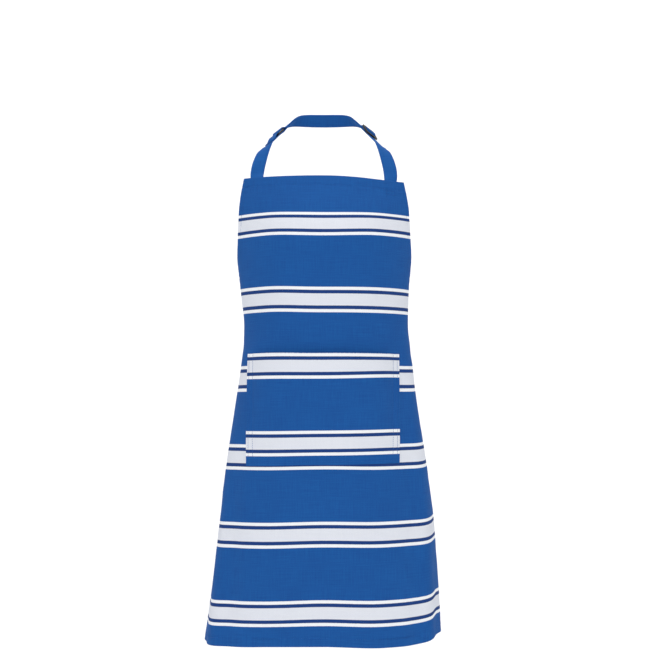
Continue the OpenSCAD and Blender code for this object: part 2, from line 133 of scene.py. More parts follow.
def oval(s, a, d, e, r):
    """Point and outward normal of the body's oval at the distance s from its front centre."""
    rf = (a * a + d * d - 2 * a * r) / (2 * (d - r))
    af = np.arcsin(np.clip((a - r) / (rf - r), -1, 1))
    rb = (a * a + e * e - 2 * a * r) / (2 * (e - r))
    ab = np.arcsin(np.clip((a - r) / (rb - r), -1, 1))
    front, side = rf * af, r * (math.pi - af - ab)
    w, q, p = s / rf, af + (s - front) / r, ab - (s - front - side) / rb

    def pick(f, m, b):
        return np.where(s < front, f, np.where(s < front + side, m, b))

    x = pick(rf * np.sin(w), a - r + r * np.sin(q), rb * np.sin(p))
    y = SIDE_PLANE + pick(rf * (1 - np.cos(w)) - d, -r * np.cos(q), e - rb * (1 - np.cos(p)))
    return x, y, pick(np.sin(w), np.sin(q), np.sin(p)), pick(-np.cos(w), -np.cos(q), np.cos(p))


SEED_STEP, NOISE_GAIN = 7.31, 1.8


def ripple(u, v, seed, size):
    """Smooth noise of about -1 to 1 with features of about size mm."""
    places = zip(np.ravel(u) / size, np.ravel(v) / size)
    flat = [noise.noise(Vector((a, b, seed * SEED_STEP))) for a, b in places]
    return np.array(flat).reshape(np.shape(u)) * NOISE_GAIN


# Soft folds of the skirt: flat place at the hem, flat place at the waist, width, height, and the v
# below which the fold grows
FOLDS = [
    (176, 158, 17, -3.2, 330),
    (203, 176, 19, 3.6, 360),
    (246, 214, 26, -5.0, 340),
    (291, 246, 24, 6.0, 330),
    (332, 300, 22, -5.0, 400),
    (-181, -160, 18, -3.0, 420),
    (-212, -186, 22, 4.0, 350),
    (-262, -220, 26, -5.5, 330),
    (-305, -262, 24, 5.5, 350),
    (-340, -322, 17, -4.5, 430),
]


# How far the wearer's hips and stance push the sides of the cloth out: at v, on +X and on -X. The
# push grows between two distances from the centre line, on the bib and on the skirt.
STANCE_AT = [0, 45, 125, 200, 310, 424, 600, 700, 780, 834]
STANCE_LEFT = [0, 1.5, -2.4, 1, 6.2, 3, 4.2, 0, -6, -10]
STANCE_RIGHT = [0, 1.5, -4, -2.2, -4.4, -5.6, -5, -3.6, -2.5, -2.5]
BIB_FROM, BIB_TO, SKIRT_FROM, SKIRT_TO = 60, 180, 140, 200
SKIRT_AT, SKIRT_FADE = 270, 60
EDGE_AT, EDGE_FADE = 275, 75


def stance(u, v):
    sides = np.where(u > 0, smooth(v, STANCE_AT, STANCE_LEFT), smooth(v, STANCE_AT, STANCE_RIGHT))
    skirt = ease((v - SKIRT_AT) / SKIRT_FADE)
    start = BIB_FROM + (SKIRT_FROM - BIB_FROM) * skirt
    end = BIB_TO + (SKIRT_TO - BIB_TO) * skirt
    grown = ease((np.abs(u) - start) / (end - start))
    return sides * grown * (1 - ease((np.abs(u) - EDGE_AT) / EDGE_FADE))


# How far the cloth sags or is drawn up, down positive: at v, in the middle, on +X and on -X
DROP_AT = [0, 96, 233, 330, 450, 640, 778, 834]
DROP_MIDDLE = [0, 0, -1.5, 0, 1.5, 0, -1.2, -2.0]
DROP_LEFT = [0, -3.5, -2.2, 0, 3.2, 2.3, 2.5, 3.0]
DROP_RIGHT = [0, -3.2, -4.3, -1, 2.4, 2.1, 0.5, -2.5]
# The distance from the centre line at which the sides' values hold
DROP_SIDE = 110
# Height, start and width of the upturned hem corner on +X
HEM_FLICK, FLICK_AT, FLICK_W = 9.5, 170, 80


def drop(u, v):
    side = ease(np.abs(u) / DROP_SIDE)
    sides = np.where(u > 0, smooth(v, DROP_AT, DROP_LEFT), smooth(v, DROP_AT, DROP_RIGHT))
    flick = HEM_FLICK * ease((u - FLICK_AT) / FLICK_W) * (v / APRON_LEN) ** 2
    return smooth(v, DROP_AT, DROP_MIDDLE) * (1 - side) + sides * side - flick


# The height where the folds leave the waist, and the tie corners' creases: height, number of creases
# to a radian, the direction they fan round and their nearest and furthest reach
FOLD_WAIST = 290
CREASE, CREASE_RATE, CREASE_WAY = 1.5, 17, 0.12
CREASE_NEAR, CREASE_HOLD, CREASE_FADE = 45, 60, 135
# Depth, half width and length of the hollow between the two straps
HOLLOW, HOLLOW_W, HOLLOW_LEN = 0.9, 70, 75


def folds(u, v):
    """How far the cloth stands off the plain wrap, mm."""
    u, v = np.broadcast_arrays(np.asarray(u, float), np.asarray(v, float))
    off = np.zeros(u.shape)
    for hem_u, waist_u, width, height, top in FOLDS:
        t = ease((v - top) / (APRON_LEN - top))
        middle = waist_u + (hem_u - waist_u) * np.clip((v - FOLD_WAIST) / (APRON_LEN - FOLD_WAIST), 0, 1)
        off += height * t * bell(u - middle, width * (0.75 + 0.5 * t))
    # short creases that fan out from each tie corner towards the waist
    for side, phase in ((1, 0.4), (-1, 1.7)):
        du, dv = side * u - TIE_U, v - TIE_V
        reach = np.hypot(du, dv)
        angle = np.arctan2(dv, -du)
        fan = bell(angle - CREASE_WAY, 0.4) * ease(reach / CREASE_NEAR)
        fan = fan * (1 - ease((reach - CREASE_HOLD) / CREASE_FADE))
        off += np.where(side * u > 0, CREASE * fan * np.sin(angle * CREASE_RATE + phase), 0)
    # the bib hollows a little between the two straps
    off -= HOLLOW * bell(u, HOLLOW_W) * (1 - ease(v / HOLLOW_LEN))
    return off + stance(u, v)


def cloth(u, v, out=0.0, worn=True):
    """The flat point (u, v) on the worn apron, moved out by out; worn adds the folds."""
    u, v = np.broadcast_arrays(np.asarray(u, float), np.asarray(v, float))
    t = v / APRON_LEN
    o = oval(np.abs(u), *[smooth(t, SECTION_AT, size) for size in SECTIONS])
    side = np.where(u < 0, -1.0, 1.0)
    bib_sag = np.where(u < 0, BIB_SAG_RIGHT, BIB_SAG_LEFT)
    sag = HEM_SAG * ease(-u / SAG_REACH) * t**2 + bib_sag * ease(np.abs(u) / (BIB_W / 2)) * (
        1 - ease(v / BIB_SAG_DEPTH)
    )
    if worn:
        out = out + folds(u, v)
        sag = sag + drop(u, v)
    z = Z_BIB - v + LEAN_LOSS * ease(v / BUST_AT) - sag
    return np.stack([side * (o[0] + o[2] * out), o[1] + o[3] * out, z], axis=-1)


def cloth_normal(u, v):
    """Outward normal of the worn cloth."""
    across = cloth(u + 1.0, v) - cloth(u - 1.0, v)
    down = cloth(u, v + 1.0) - cloth(u, v - 1.0)
    return unit(np.cross(down, across))


# ---- mesh helpers


def put_in_scene(name, data):
    """A new object in the scene that holds data."""
    obj = bpy.data.objects.new(name, data)
    bpy.context.scene.collection.objects.link(obj)
    return obj


def shade_smooth(mesh):
    mesh.polygons.foreach_set("use_smooth", [True] * len(mesh.polygons))


def new_object(name, points, faces, uvs=None):
    """A mesh object from points in mm, with optional flat coordinates in mm as its UV map."""
    mesh = bpy.data.meshes.new(name)
    mesh.from_pydata((np.asarray(points, float) * MM).tolist(), [], faces)
    if uvs is not None:
        layer = mesh.uv_layers.new(name="flat")
        loops = np.zeros(len(mesh.loops), np.int32)
        mesh.loops.foreach_get("vertex_index", loops)
        layer.data.foreach_set("uv", (np.asarray(uvs, float)[loops] * MM).astype(np.float32).ravel())
    shade_smooth(mesh)
    mesh.validate()
    mesh.update()
    return put_in_scene(name, mesh)


def grid_faces(rows, cols, base=0, loop=False, tube=True):
    """Faces on a grid of points: loop joins the last row to the first, and tube the last column."""
    faces = []
    for i in range(rows if loop else rows - 1):
        a, b = base + i * cols, base + (i + 1) % rows * cols
        for k in range(cols if tube else cols - 1):
            q = (k + 1) % cols
            faces.append((a + k, b + k, b + q, a + q))
    return faces


def ring_of(rows, cols):
    """Grid places of the border, in order, each with the grid place one step further in."""
    out = [((0, j), (1, j)) for j in range(cols)]
    out += [((i, cols - 1), (i, cols - 2)) for i in range(1, rows)]
    out += [((rows - 1, j), (rows - 2, j)) for j in range(cols - 2, -1, -1)]
    out += [((i, 0), (i, 1)) for i in range(rows - 2, 0, -1)]
    return out


RIM_STEPS, RIM_ROUND = 3, 0.9


def closed_sheet(name, outer, inner, uv):
    """A sheet between two grids of points, closed round its border by a rounded edge."""
    rows, cols = outer.shape[:2]
    n = rows * cols
    points = [outer.reshape(-1, 3), inner.reshape(-1, 3)]
    uvs = [uv.reshape(-1, 2), uv.reshape(-1, 2)]
    faces = grid_faces(rows, cols, tube=False)
    faces += [(n + a, n + b, n + c, n + d) for a, d, c, b in faces]
    border = ring_of(rows, cols)
    count = len(border)
    o = np.array([outer[p] for p, _ in border])
    m = np.array([inner[p] for p, _ in border])
    away = o - np.array([outer[q] for _, q in border])
    corner = {0: (1, 1), cols - 1: (1, -1), cols + rows - 2: (-1, -1), 2 * cols + rows - 3: (-1, 1)}
    for k, (si, sj) in corner.items():
        i, j = border[k][0]
        away[k] = outer[i, j] - outer[i + si, j + sj]
    away = unit(away)
    half = np.linalg.norm(o - m, axis=1, keepdims=True) / 2
    place = np.array([i * cols + j for (i, j), _ in border])
    lines = [place]
    for k in range(RIM_STEPS):
        w = math.pi * (k + 1) / (RIM_STEPS + 1)
        points.append((o + m) / 2 + (o - m) / 2 * math.cos(w) + away * half * math.sin(w) * RIM_ROUND)
        uvs.append(np.array([uv[p] for p, _ in border]))
        lines.append(2 * n + k * count + np.arange(count))
    lines.append(n + place)
    for a, b in zip(lines, lines[1:]):
        faces += zip(a.tolist(), np.roll(a, -1).tolist(), np.roll(b, -1).tolist(), b.tolist())
    return new_object(name, np.concatenate(points), faces, np.concatenate(uvs))


# The topstitching's place across a band, as a share of its half width
TOPSTITCH_AT = 0.84
# Cross-section of a folded and topstitched band: share of the half width, share of the half thickness
BAND_PROFILE = [
    (-1.0, 0.0), (-0.992, 0.52), (-0.965, 0.88), (-0.925, 0.98), (-0.88, 0.86), (-0.84, 0.72),
    (-0.80, 0.86), (-0.72, 1.0), (-0.45, 1.06), (0.0, 1.0), (0.45, 1.06), (0.72, 1.0),
    (0.80, 0.86), (0.84, 0.72), (0.88, 0.86), (0.925, 0.98), (0.965, 0.88), (0.992, 0.52),
]
BAND_PROFILE += [(-x, -z) for x, z in BAND_PROFILE]


def tangents(path):
    ahead = np.concatenate([path[1:], path[-1:]])
    behind = np.concatenate([path[:1], path[:-1]])
    return unit(ahead - behind)


def band_frames(path, across):
    """A band's width direction and outward direction at each point of its path."""
    t = tangents(path)
    wide = unit(across - np.sum(across * t, axis=1, keepdims=True) * t)
    return wide, np.cross(t, wide)


def resample(path, across, step):
    """The same line with points about step mm apart, smoothed through the given points."""
    at = run_of(path)
    n = max(2, int(round(at[-1] / step)))
    s = np.linspace(0, at[-1], n + 1)
    a = np.stack([np.interp(s, at, across[:, k]) for k in range(3)], axis=1)
    return smooth(s, at, path), a


def trough(x, pinch):
    """How high the place x across a pinched band lies: it folds lengthwise into a shallow trough."""
    return (1 - pinch) * STRAP_W * TROUGH * (x**2 - TROUGH_LEVEL)


TROUGH, TROUGH_LEVEL = 0.42, 0.4
# The backs of the bands use their own part of the flat coordinates, this far from the fronts
UV_GAP = 3


def band_mesh(name, path, across, pinch=1.0, fat=1.0, start=0.0, waver=0.0):
    """A folded band along a path. pinch and fat scale its width and thickness at each point;
    waver is the height in mm of the slight unevenness that sewing leaves."""
    wide, up = band_frames(path, across)
    n, m = len(path), len(BAND_PROFILE)
    half, last = m // 2, (n - 1) * m
    pinch, fat = (np.ones((n, 1)) * np.reshape(a, (-1, 1)) for a in (pinch, fat))
    s = start + run_of(path)[:, None]
    px, pz = np.array(BAND_PROFILE).T
    bump = np.sin(s * 0.31) * px + 0.6 * np.sin(s * 0.83 + 1.1) * (1 - px**2)
    level = pz * STRAP_T / 2 * fat + trough(px, pinch) + waver * bump
    points = path[:, None] + (px * STRAP_W / 2 * pinch)[..., None] * wide[:, None]
    points = points + level[..., None] * up[:, None]
    back = np.where(np.arange(m) >= half, STRAP_W + UV_GAP, 0)
    uvs = np.stack(np.broadcast_arrays(px * STRAP_W / 2 + back, s), axis=-1)
    # each end closes with faces between the upper and the lower side
    caps = [(0, 1, m - 1)] + [(k, k + 1, m - k - 1, m - k) for k in range(1, half - 1)]
    caps.append((half - 1, half, half + 1))
    faces = grid_faces(n, m) + caps + [tuple(last + k for k in cap[::-1]) for cap in caps]
    return new_object(name, points.reshape(-1, 3), faces, uvs.reshape(-1, 2))


# Stitches: length, gap between two, thread radius, rise above the line and dip at the ends, mm, and
# how flat the thread is pressed
STITCH_LEN, STITCH_GAP, THREAD_R = 2.9, 0.75, 0.34
STITCH_RISE, STITCH_DIP, THREAD_FLAT = 0.12, 0.24, 0.8
THREAD_SIDES, THREAD_RINGS = 6, 7


def stitches(name, lines):
    """One mesh of single stitches along lines of (points, normals): each is a short thread that dives
    into the cloth at both ends."""
    sides, rings = THREAD_SIDES, THREAD_RINGS
    w = 2 * math.pi * np.arange(sides)[:, None] / sides
    x = np.linspace(-1, 1, rings)
    thick = THREAD_R * np.sqrt(np.clip(1 - x**2 * 0.86, 0.02, 1))
    rise = STITCH_RISE - STITCH_DIP * np.abs(x) ** 3
    points, faces = [], []
    for path, normals in lines:
        at = run_of(path)
        count = max(1, int(round((at[-1] + STITCH_GAP) / (STITCH_LEN + STITCH_GAP))))
        pitch = (at[-1] + STITCH_GAP) / count
        for c in range(count):
            s = c * pitch + np.linspace(0, pitch - STITCH_GAP, rings)
            mid, up = (np.stack([np.interp(s, at, a[:, k]) for k in range(3)], axis=1)
                       for a in (np.asarray(path, float), np.asarray(normals, float)))
            up = unit(up)
            side = unit(np.cross(tangents(mid), up))
            mid = mid + up * rise[:, None]
            base = len(points)
            around = side[:, None] * np.cos(w) + up[:, None] * np.sin(w) * THREAD_FLAT
            points += list((mid[:, None] + thick[:, None, None] * around).reshape(-1, 3))
            faces += grid_faces(rings, sides, base)
            end = tuple(base + q for q in range(sides))
            faces += [end, tuple(q + (rings - 1) * sides for q in end[::-1])]
    return new_object(name, points, faces)


def dense(points, step=1.5):
    """Flat points with extra points between them, about step mm apart."""
    out = [np.array(points[0], float)]
    for a, b in zip(points, points[1:]):
        a, b = np.array(a, float), np.array(b, float)
        n = max(1, int(math.ceil(np.linalg.norm(b - a) / step)))
        out += [a + (b - a) * k / n for k in range(1, n + 1)]
    return np.array(out)


# ---- materials


class Nodes:
    """Short calls for building a material's node tree."""

    def __init__(self, name):
        self.material = bpy.data.materials.new(name)
        self.material.use_nodes = True
        self.tree = self.material.node_tree
        self.shader = self.tree.nodes["Principled BSDF"]

    def add(self, kind, **settings):
        node = self.tree.nodes.new(kind)
        for key, value in settings.items():
            setattr(node, key, value)
        return node

    def put(self, value, socket):
        if isinstance(value, bpy.types.NodeSocket):
            self.tree.links.new(value, socket)
        else:
            socket.default_value = value

    def fill(self, node, values):
        """Sets or links a node's inputs, by name or by place."""
        for key, value in values.items():
            self.put(value, node.inputs[key])
        return node.outputs

    def shade(self, values):
        self.fill(self.shader, values)

    def math(self, op, a, b=0.0):
        return self.fill(self.add("ShaderNodeMath", operation=op), {0: a, 1: b})[0]

    def plus(self, a, b):
        return self.math("ADD", a, b)

    def times(self, a, b):
        return self.math("MULTIPLY", a, b)

    def mix(self, t, a, b):
        return self.fill(self.add("ShaderNodeMix", data_type="RGBA"), {0: t, 6: a, 7: b})[2]

    def noise(self, vector, scale, detail=2.0, rough=0.5):
        node = self.add("ShaderNodeTexNoise", noise_dimensions="3D")
        values = {"Vector": vector, "Scale": scale, "Detail": detail, "Roughness": rough}
        return self.fill(node, values)["Fac"]

    def scaled(self, vector, x, y):
        node = self.add("ShaderNodeVectorMath", operation="MULTIPLY")
        return self.fill(node, {0: vector, 1: (x, y, 1.0)})[0]

    def range(self, value, low, high, to_low, to_high):
        node = self.add("ShaderNodeMapRange", clamp=True)
        return self.fill(node, {0: value, 1: low, 2: high, 3: to_low, 4: to_high})[0]

    def flat(self):
        """The piece's flat coordinates in metres, whole and split."""
        flat = self.add("ShaderNodeUVMap", uv_map="flat").outputs[0]
        return flat, self.fill(self.add("ShaderNodeSeparateXYZ"), {0: flat})

    def bump(self, height, strength, distance):
        node = self.add("ShaderNodeBump")
        values = {"Strength": strength, "Distance": distance, "Height": height}
        self.shade({"Normal": self.fill(node, values)[0]})


# yarns in the cloth, per metre of flat cloth
WARP_PER_M, WEFT_PER_M = 1250.0, 1100.0


# how far the yarns wander, m
YARN_WANDER = 0.0009


def weave(n, flat, split, strength):
    """Height and colour variation of a plain weave with slubs, from flat coordinates in metres."""
    wander = n.times(n.noise(n.scaled(flat, 60, 60), 1.0, 2.0), YARN_WANDER)
    warp, weft = (n.math("SINE", n.times(n.plus(split[k], wander), rate * math.pi))
                  for k, rate in ((0, WARP_PER_M), (1, WEFT_PER_M)))
    # a plain weave: warp shows over weft in a chequer
    over = n.times(warp, weft)
    yarn = n.plus(n.math("ABSOLUTE", warp), n.math("ABSOLUTE", weft))
    height = n.plus(n.times(yarn, 0.35), n.times(over, 0.3))
    # slubs: long thin thick places along each yarn
    slub_weft = n.noise(n.scaled(flat, 22, 620), 1.0, 3.0, 0.6)
    slub_warp = n.noise(n.scaled(flat, 700, 26), 1.0, 3.0, 0.6)
    slub = n.plus(n.times(slub_weft, 0.5), n.times(slub_warp, 0.5))
    n.bump(n.plus(height, n.times(slub, 1.5)), strength, 0.00035)
    return slub, over


BLUE = (0.0115, 0.090, 0.335, 1)
BLUE_DARK = (0.0085, 0.062, 0.255, 1)
BLUE_LIGHT = (0.0130, 0.134, 0.425, 1)
NAVY = (0.0135, 0.0410, 0.176, 1)
WHITE = (0.92, 0.935, 0.96, 1)
WHITE_SHADE = (0.83, 0.85, 0.90, 1)
CREAM = (0.735, 0.760, 0.835, 1)
CREAM_LIGHT = (0.80, 0.825, 0.870, 1)
# black for the painted shade in the hollows of the weave, where the yarns dip into the cloth
PAINTED_WEAVE_SHADE = (0.0, 0.0, 0.0, 1)

# Stripe bands down the flat cloth, mm: first band's start, repeat, and the edges inside a band
BAND_START, BAND_REPEAT = 73.95, 136.0
THIN_WHITE, THIN_BLUE, BAND_WIDTH = 5.5, 6.2, 44.5
# Drift of the dyed yarns, fuzz of a stripe's edge and its softness, m
DRIFT, FUZZ, EDGE_SOFT = 0.0016, 0.0007, 0.00022


def finish_cloth(n, colour, roughness):
    n.shade({"Base Color": colour, "Roughness": roughness, "Specular IOR Level": 0.12,
             "Sheen Weight": 0.05, "Sheen Roughness": 0.5, "Sheen Tint": (0.35, 0.55, 0.95, 1)})
    return n.material


def striped_cotton(name, start):
    """Yarn-dyed stripes across the cloth; start is the flat v of a band's first edge, in mm."""
    n = Nodes(name)
    flat, split = n.flat()
    slub, over = weave(n, flat, split, 0.5)
    # the dyed yarns don't lie perfectly straight
    drift, fuzz = (n.times(n.math("SUBTRACT", n.noise(n.scaled(flat, x, y), 1.0, 1.0), 0.5), size)
                   for x, y, size in ((5, 1, DRIFT), (900, 900, FUZZ)))
    v = n.plus(n.plus(split[1], drift), fuzz)
    place = n.math("PINGPONG", n.math("SUBTRACT", v, (start + BAND_WIDTH / 2) * MM), BAND_REPEAT / 2 * MM)
    half = BAND_WIDTH / 2

    def beyond(edge):
        return n.range(place, edge * MM - EDGE_SOFT, edge * MM + EDGE_SOFT, 0.0, 1.0)

    tone = n.range(slub, 0.34, 0.66, 0.0, 1.0)
    cloud = n.noise(n.scaled(flat, 9, 9), 1.0, 3.0)
    blue = n.mix(0.55, n.mix(tone, BLUE_DARK, BLUE_LIGHT), BLUE)
    blue = n.mix(n.range(cloud, 0.3, 0.7, 0.0, 0.22), blue, BLUE_DARK)
    navy = n.mix(n.times(tone, 0.25), NAVY, BLUE)
    white = n.mix(n.times(tone, 0.4), WHITE, WHITE_SHADE)
    colour = n.mix(n.times(tone, 0.5), CREAM, CREAM_LIGHT)
    colour = n.mix(beyond(half - THIN_WHITE - THIN_BLUE), colour, navy)
    colour = n.mix(beyond(half - THIN_WHITE), colour, white)
    colour = n.mix(beyond(half), colour, blue)
    # painted shade: the cloth is darkened where the yarns dip into it at every crossing
    return finish_cloth(n, n.mix(n.range(over, -1.0, 0.2, 0.16, 0.0), colour, PAINTED_WEAVE_SHADE), 0.86)


def plain_cotton(name, main, dark, light):
    """Plain dyed cotton of the straps and ties."""
    n = Nodes(name)
    flat, split = n.flat()
    slub, over = weave(n, flat, split, 0.45)
    tone = n.range(slub, 0.34, 0.66, 0.0, 1.0)
    colour = n.mix(0.5, n.mix(tone, dark, light), main)
    # painted shade: the grooves along the topstitching are darkened
    across = n.math("ABSOLUTE", split[0])
    groove = n.math("ABSOLUTE", n.math("SUBTRACT", across, STRAP_W / 2 * TOPSTITCH_AT * MM))
    colour = n.mix(n.range(groove, 0.0002, 0.0011, 0.35, 0.0), colour, dark)
    # painted shade where the yarns dip into the cloth at every crossing
    return finish_cloth(n, n.mix(n.range(over, -1.0, 0.2, 0.14, 0.0), colour, PAINTED_WEAVE_SHADE), 0.88)


def thread(name, main, light):
    """Twisted sewing thread."""
    n = Nodes(name)
    place = n.add("ShaderNodeTexCoord").outputs["Object"]
    wave = n.add("ShaderNodeTexWave", wave_type="BANDS", bands_direction="DIAGONAL")
    twist = n.fill(wave, {"Scale": 900.0, "Distortion": 1.5, "Vector": place})["Fac"]
    n.bump(twist, 0.4, 0.0001)
    n.shade({"Base Color": n.mix(twist, main, light), "Roughness": 0.7, "Specular IOR Level": 0.15})
    return n.material


def black_metal(name):
    """Satin black coating with a faint orange-peel texture and paler worn edges."""
    n = Nodes(name)
    place = n.add("ShaderNodeTexCoord").outputs["Object"]
    broad = n.noise(place, 160.0, 3.0)
    wear = n.range(n.add("ShaderNodeNewGeometry").outputs["Pointiness"], 0.52, 0.60, 0.0, 0.5)
    colour = n.mix(n.range(broad, 0.35, 0.7, 0.0, 1.0), (0.006, 0.006, 0.007, 1), (0.014, 0.014, 0.016, 1))
    colour = n.mix(n.times(wear, broad), colour, (0.06, 0.06, 0.065, 1))
    n.bump(n.noise(place, 2600.0, 2.0), 0.12, 0.0001)
    n.shade({"Base Color": colour, "Roughness": n.range(broad, 0.3, 0.7, 0.38, 0.52),
             "Specular IOR Level": 0.3, "Metallic": 0.0, "Coat Weight": 0.12, "Coat Roughness": 0.25})
    return n.material


panel_cotton = striped_cotton("panel_striped_cotton", BAND_START)
pocket_cotton = striped_cotton("pocket_striped_cotton", POCKET_AT)
strap_cotton = plain_cotton("strap_cotton", BLUE, BLUE_DARK, BLUE_LIGHT)
blue_thread = thread("blue_thread", (0.010, 0.070, 0.275, 1), (0.020, 0.125, 0.43, 1))
metal = black_metal("black_hardware")


def dress(obj, material, slot, body=None, *nodes):
    obj.data.materials.clear()
    obj.data.materials.append(material)
    if body:
        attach(obj, body)
    if nodes:
        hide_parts(*nodes)
    return obj


# ---- the main panel

THIN_T, HEM_T, POCKET_HEM_T = 0.75, 2.1, 1.75
HEM_STEP = 0.9
EDGE_STEPS = np.array([0, 0.7, 1.6, 2.8, 4.4, 6.0, 7.2, 8.0, 8.8, 10.2, 11.2, 12.4, 15.0])
BOTTOM_HEM, BIB_HEM, SIDE_HEM = 18.0, 21.0, 11.5
# Depth of the line that the stitching draws in, on the panel and on the pocket, and its half width
GROOVE, POCKET_GROOVE, GROOVE_W = 0.28, 0.22, 0.8
PUCKER, POCKET_PUCKER = 0.32, 0.22
ROLL, HEM_WAVE = 1.7, 1.1


def edge_slope(v):
    """How much further apart along u than across the edge two lines beside the armhole edge are."""
    share = np.clip(v / ARMHOLE_LEN, 0, 1)
    rise = ARMHOLE_SLOPE + ARMHOLE_SWEEP * ARMHOLE_POWER / ARMHOLE_LEN * share ** (ARMHOLE_POWER - 1)
    fade = 1 - ease((v - ARMHOLE_LEN + 4) / 22)
    return np.sqrt(1 + (rise * fade) ** 2)


def panel_rows():
    top = np.array([0, 0.7, 1.6, 3.0, 5, 8, 11.5, 14.5, 16.2, 17.0, 17.8, 19.2, 20.4, 21.4, 22.6, 25.5])
    rise = np.array([22.5, 19.6, 18.6, 17.4, 16.4, 15.0, 14.0, 13.0, 11.0, 8, 5, 3.0, 1.6, 0.7, 0])
    bottom = APRON_LEN - rise
    middle = np.linspace(top[-1], bottom[0], 200)[1:-1]
    return np.concatenate([top, middle, bottom])


def build_panel():
    v = panel_rows()
    half = flat_half(v)
    side = EDGE_STEPS[None, :] * edge_slope(v)[:, None]
    inside = half - side[:, -1]
    middle = np.linspace(-1, 1, 160)[1:-1]
    left = half[:, None] - side
    u = np.concatenate([-left, inside[:, None] * middle[None, :], left[:, ::-1]], axis=1)
    vv = np.repeat(v[:, None], u.shape[1], axis=1)
    from_side = (half[:, None] - np.abs(u)) / edge_slope(v)[:, None]
    from_top, from_bottom = vv, APRON_LEN - vv
    beyond = [from_side - SIDE_HEM, from_top - BIB_HEM, from_bottom - BOTTOM_HEM]
    hem = np.max([1 - ease(x / HEM_STEP) for x in beyond], axis=0)
    thick = THIN_T + (HEM_T - THIN_T) * hem
    # the stitching draws the hem in, and the cloth puckers along it
    line = np.abs([from_side - HEM_W, from_top - BIB_STITCH, from_bottom - BOTTOM_STITCH]).min(axis=0)
    near = np.min([from_side, from_top, from_bottom], axis=0)
    groove = GROOVE * bell(line, GROOVE_W)
    along = np.where(from_side < np.minimum(from_top, from_bottom), vv, u)
    pucker = PUCKER * np.sin(along * 0.52 + 1.7 * np.sin(along * 0.071)) * bell(near - 12, 9.0)
    wobble = 0.5 * ripple(u, vv * 0.6, 1, 60) + 0.22 * ripple(u, vv, 2, 19)
    # the long edges roll in and out a little where nothing holds them
    free = ease((vv - 330) / 300) * bell(from_side, 26)
    roll = ROLL * np.sin(vv * 0.021 + np.where(u > 0, 0.4, 2.0)) * free
    hem_wave = HEM_WAVE * np.sin(u * 0.034 + 0.6) * bell(from_bottom, 30) * ease((np.abs(u) - 60) / 80)
    # the cloth lies calm behind the pocket
    behind = (np.abs(u) < POCKET_W / 2 + 6) & (np.abs(vv - POCKET_AT - POCKET_H / 2) < POCKET_H / 2 + 4)
    out = CLOTH_T - groove + (pucker + wobble) * (1 - 0.85 * behind) + roll + hem_wave
    flat = np.stack([u, vv], axis=-1)
    obj = closed_sheet("apron_panel", cloth(u, vv, out), cloth(u, vv, out - thick), flat)
    return dress(obj, panel_cotton, "striped_cotton", "apron", "body_panel")


panel = build_panel()

# ---- the pocket

# How the worn pocket leaves its flat shape: wider at the mouth and narrower at the bottom, as shares
# of its width, and the mouth's sag, the bottom's lift, the lift of the corner on +X and the shift
POCKET_FLARE, POCKET_TAPER = 0.019, 0.044
POCKET_SAG, POCKET_LIFT, CORNER_LIFT, POCKET_SHIFT = 2.4, 1.5, 3.0, -2.0


def pocket_stand(u, v):
    """How far the pocket's inner face stands off the panel, to which its margins are sewn flat."""
    t = np.clip((v - POCKET_AT) / (POCKET_H - POCKET_INNER), 0, 1)
    w = np.clip(np.abs(u) / (POCKET_W / 2 - POCKET_INNER), 0, 1)
    return 0.3 + POCKET_BELLY * (1 - w**4) * (1 - t**3)


def pocket_out(u, v):
    """Level of the pocket's outer face above the plain wrap."""
    du = POCKET_W / 2 - np.abs(u)
    dv = POCKET_AT + POCKET_H - v
    near = np.minimum(du, dv)
    rows = (near - POCKET_OUTER, near - POCKET_INNER, v - POCKET_AT - MOUTH_STITCH)
    groove = POCKET_GROOVE * sum(bell(row, GROOVE_W) for row in rows)
    along = np.where(du < dv, v, u)
    pucker = POCKET_PUCKER * np.sin(along * 0.47 + 1.3 * np.sin(along * 0.063))
    pucker = pucker * bell(near - POCKET_INNER - 2.5, 6.0)
    wobble = 0.35 * ripple(u, v, 5, 55) * ease(near / 25)
    return CLOTH_T + pocket_stand(u, v) + CLOTH_T - groove + pucker + wobble


def pocket_cloth(u, v, out):
    """The pocket's flat point (u, v) where it is worn: its mouth sags and its bottom draws in a little."""
    t = (v - POCKET_AT) / POCKET_H
    across = u * (1 + POCKET_FLARE * (1 - t) - POCKET_TAPER * t) + POCKET_SHIFT
    lift = CORNER_LIFT * ease(u / 130) * ease(t / 0.2)
    return cloth(across, v + POCKET_SAG * (1 - t) - POCKET_LIFT * t - lift, out)


def build_pocket():
    edge = np.array([0, 0.6, 1.4, 2.8, 4.1, 5.0, 5.9, 8, 11, 14.1, 15, 15.9, 17.2, 18.4, 20.5])
    top = np.array([0, 0.6, 1.4, 3, 5, 7, 7.8, 8.6, 9.4, 10.2, 11, 12, 13, 16, 20, 25])
    half, bottom = POCKET_W / 2, POCKET_AT + POCKET_H
    u = [-half + edge, np.linspace(-half + edge[-1], half - edge[-1], 76)[1:-1], half - edge[::-1]]
    v = [POCKET_AT + top, np.linspace(POCKET_AT + top[-1], bottom - edge[-1], 44)[1:-1], bottom - edge[::-1]]
    u, v = np.meshgrid(np.concatenate(u), np.concatenate(v))
    near = np.minimum(half - np.abs(u), bottom - v)
    beyond = (near - POCKET_INNER - 2.3, v - POCKET_AT - MOUTH_STITCH - 2)
    hem = np.max([1 - ease(x / HEM_STEP) for x in beyond], axis=0)
    thick = THIN_T + (POCKET_HEM_T - THIN_T) * hem
    out = pocket_out(u, v)
    # the folded margins lie on the panel, a little clear of it
    clear = np.clip(0.12 - (out - thick - CLOTH_T), 0, 1)
    obj = closed_sheet("patch_pocket", pocket_cloth(u, v, out), pocket_cloth(u, v, out - thick + clear),
                       np.stack([u, v], axis=-1))
    return dress(obj, pocket_cotton, "striped_cotton", "apron", "pocket_panel")


pocket = build_pocket()

# ---- stitching on the panel and the pocket


# Height of a thread's middle line above the groove it lies in
THREAD_LIFT = 0.08


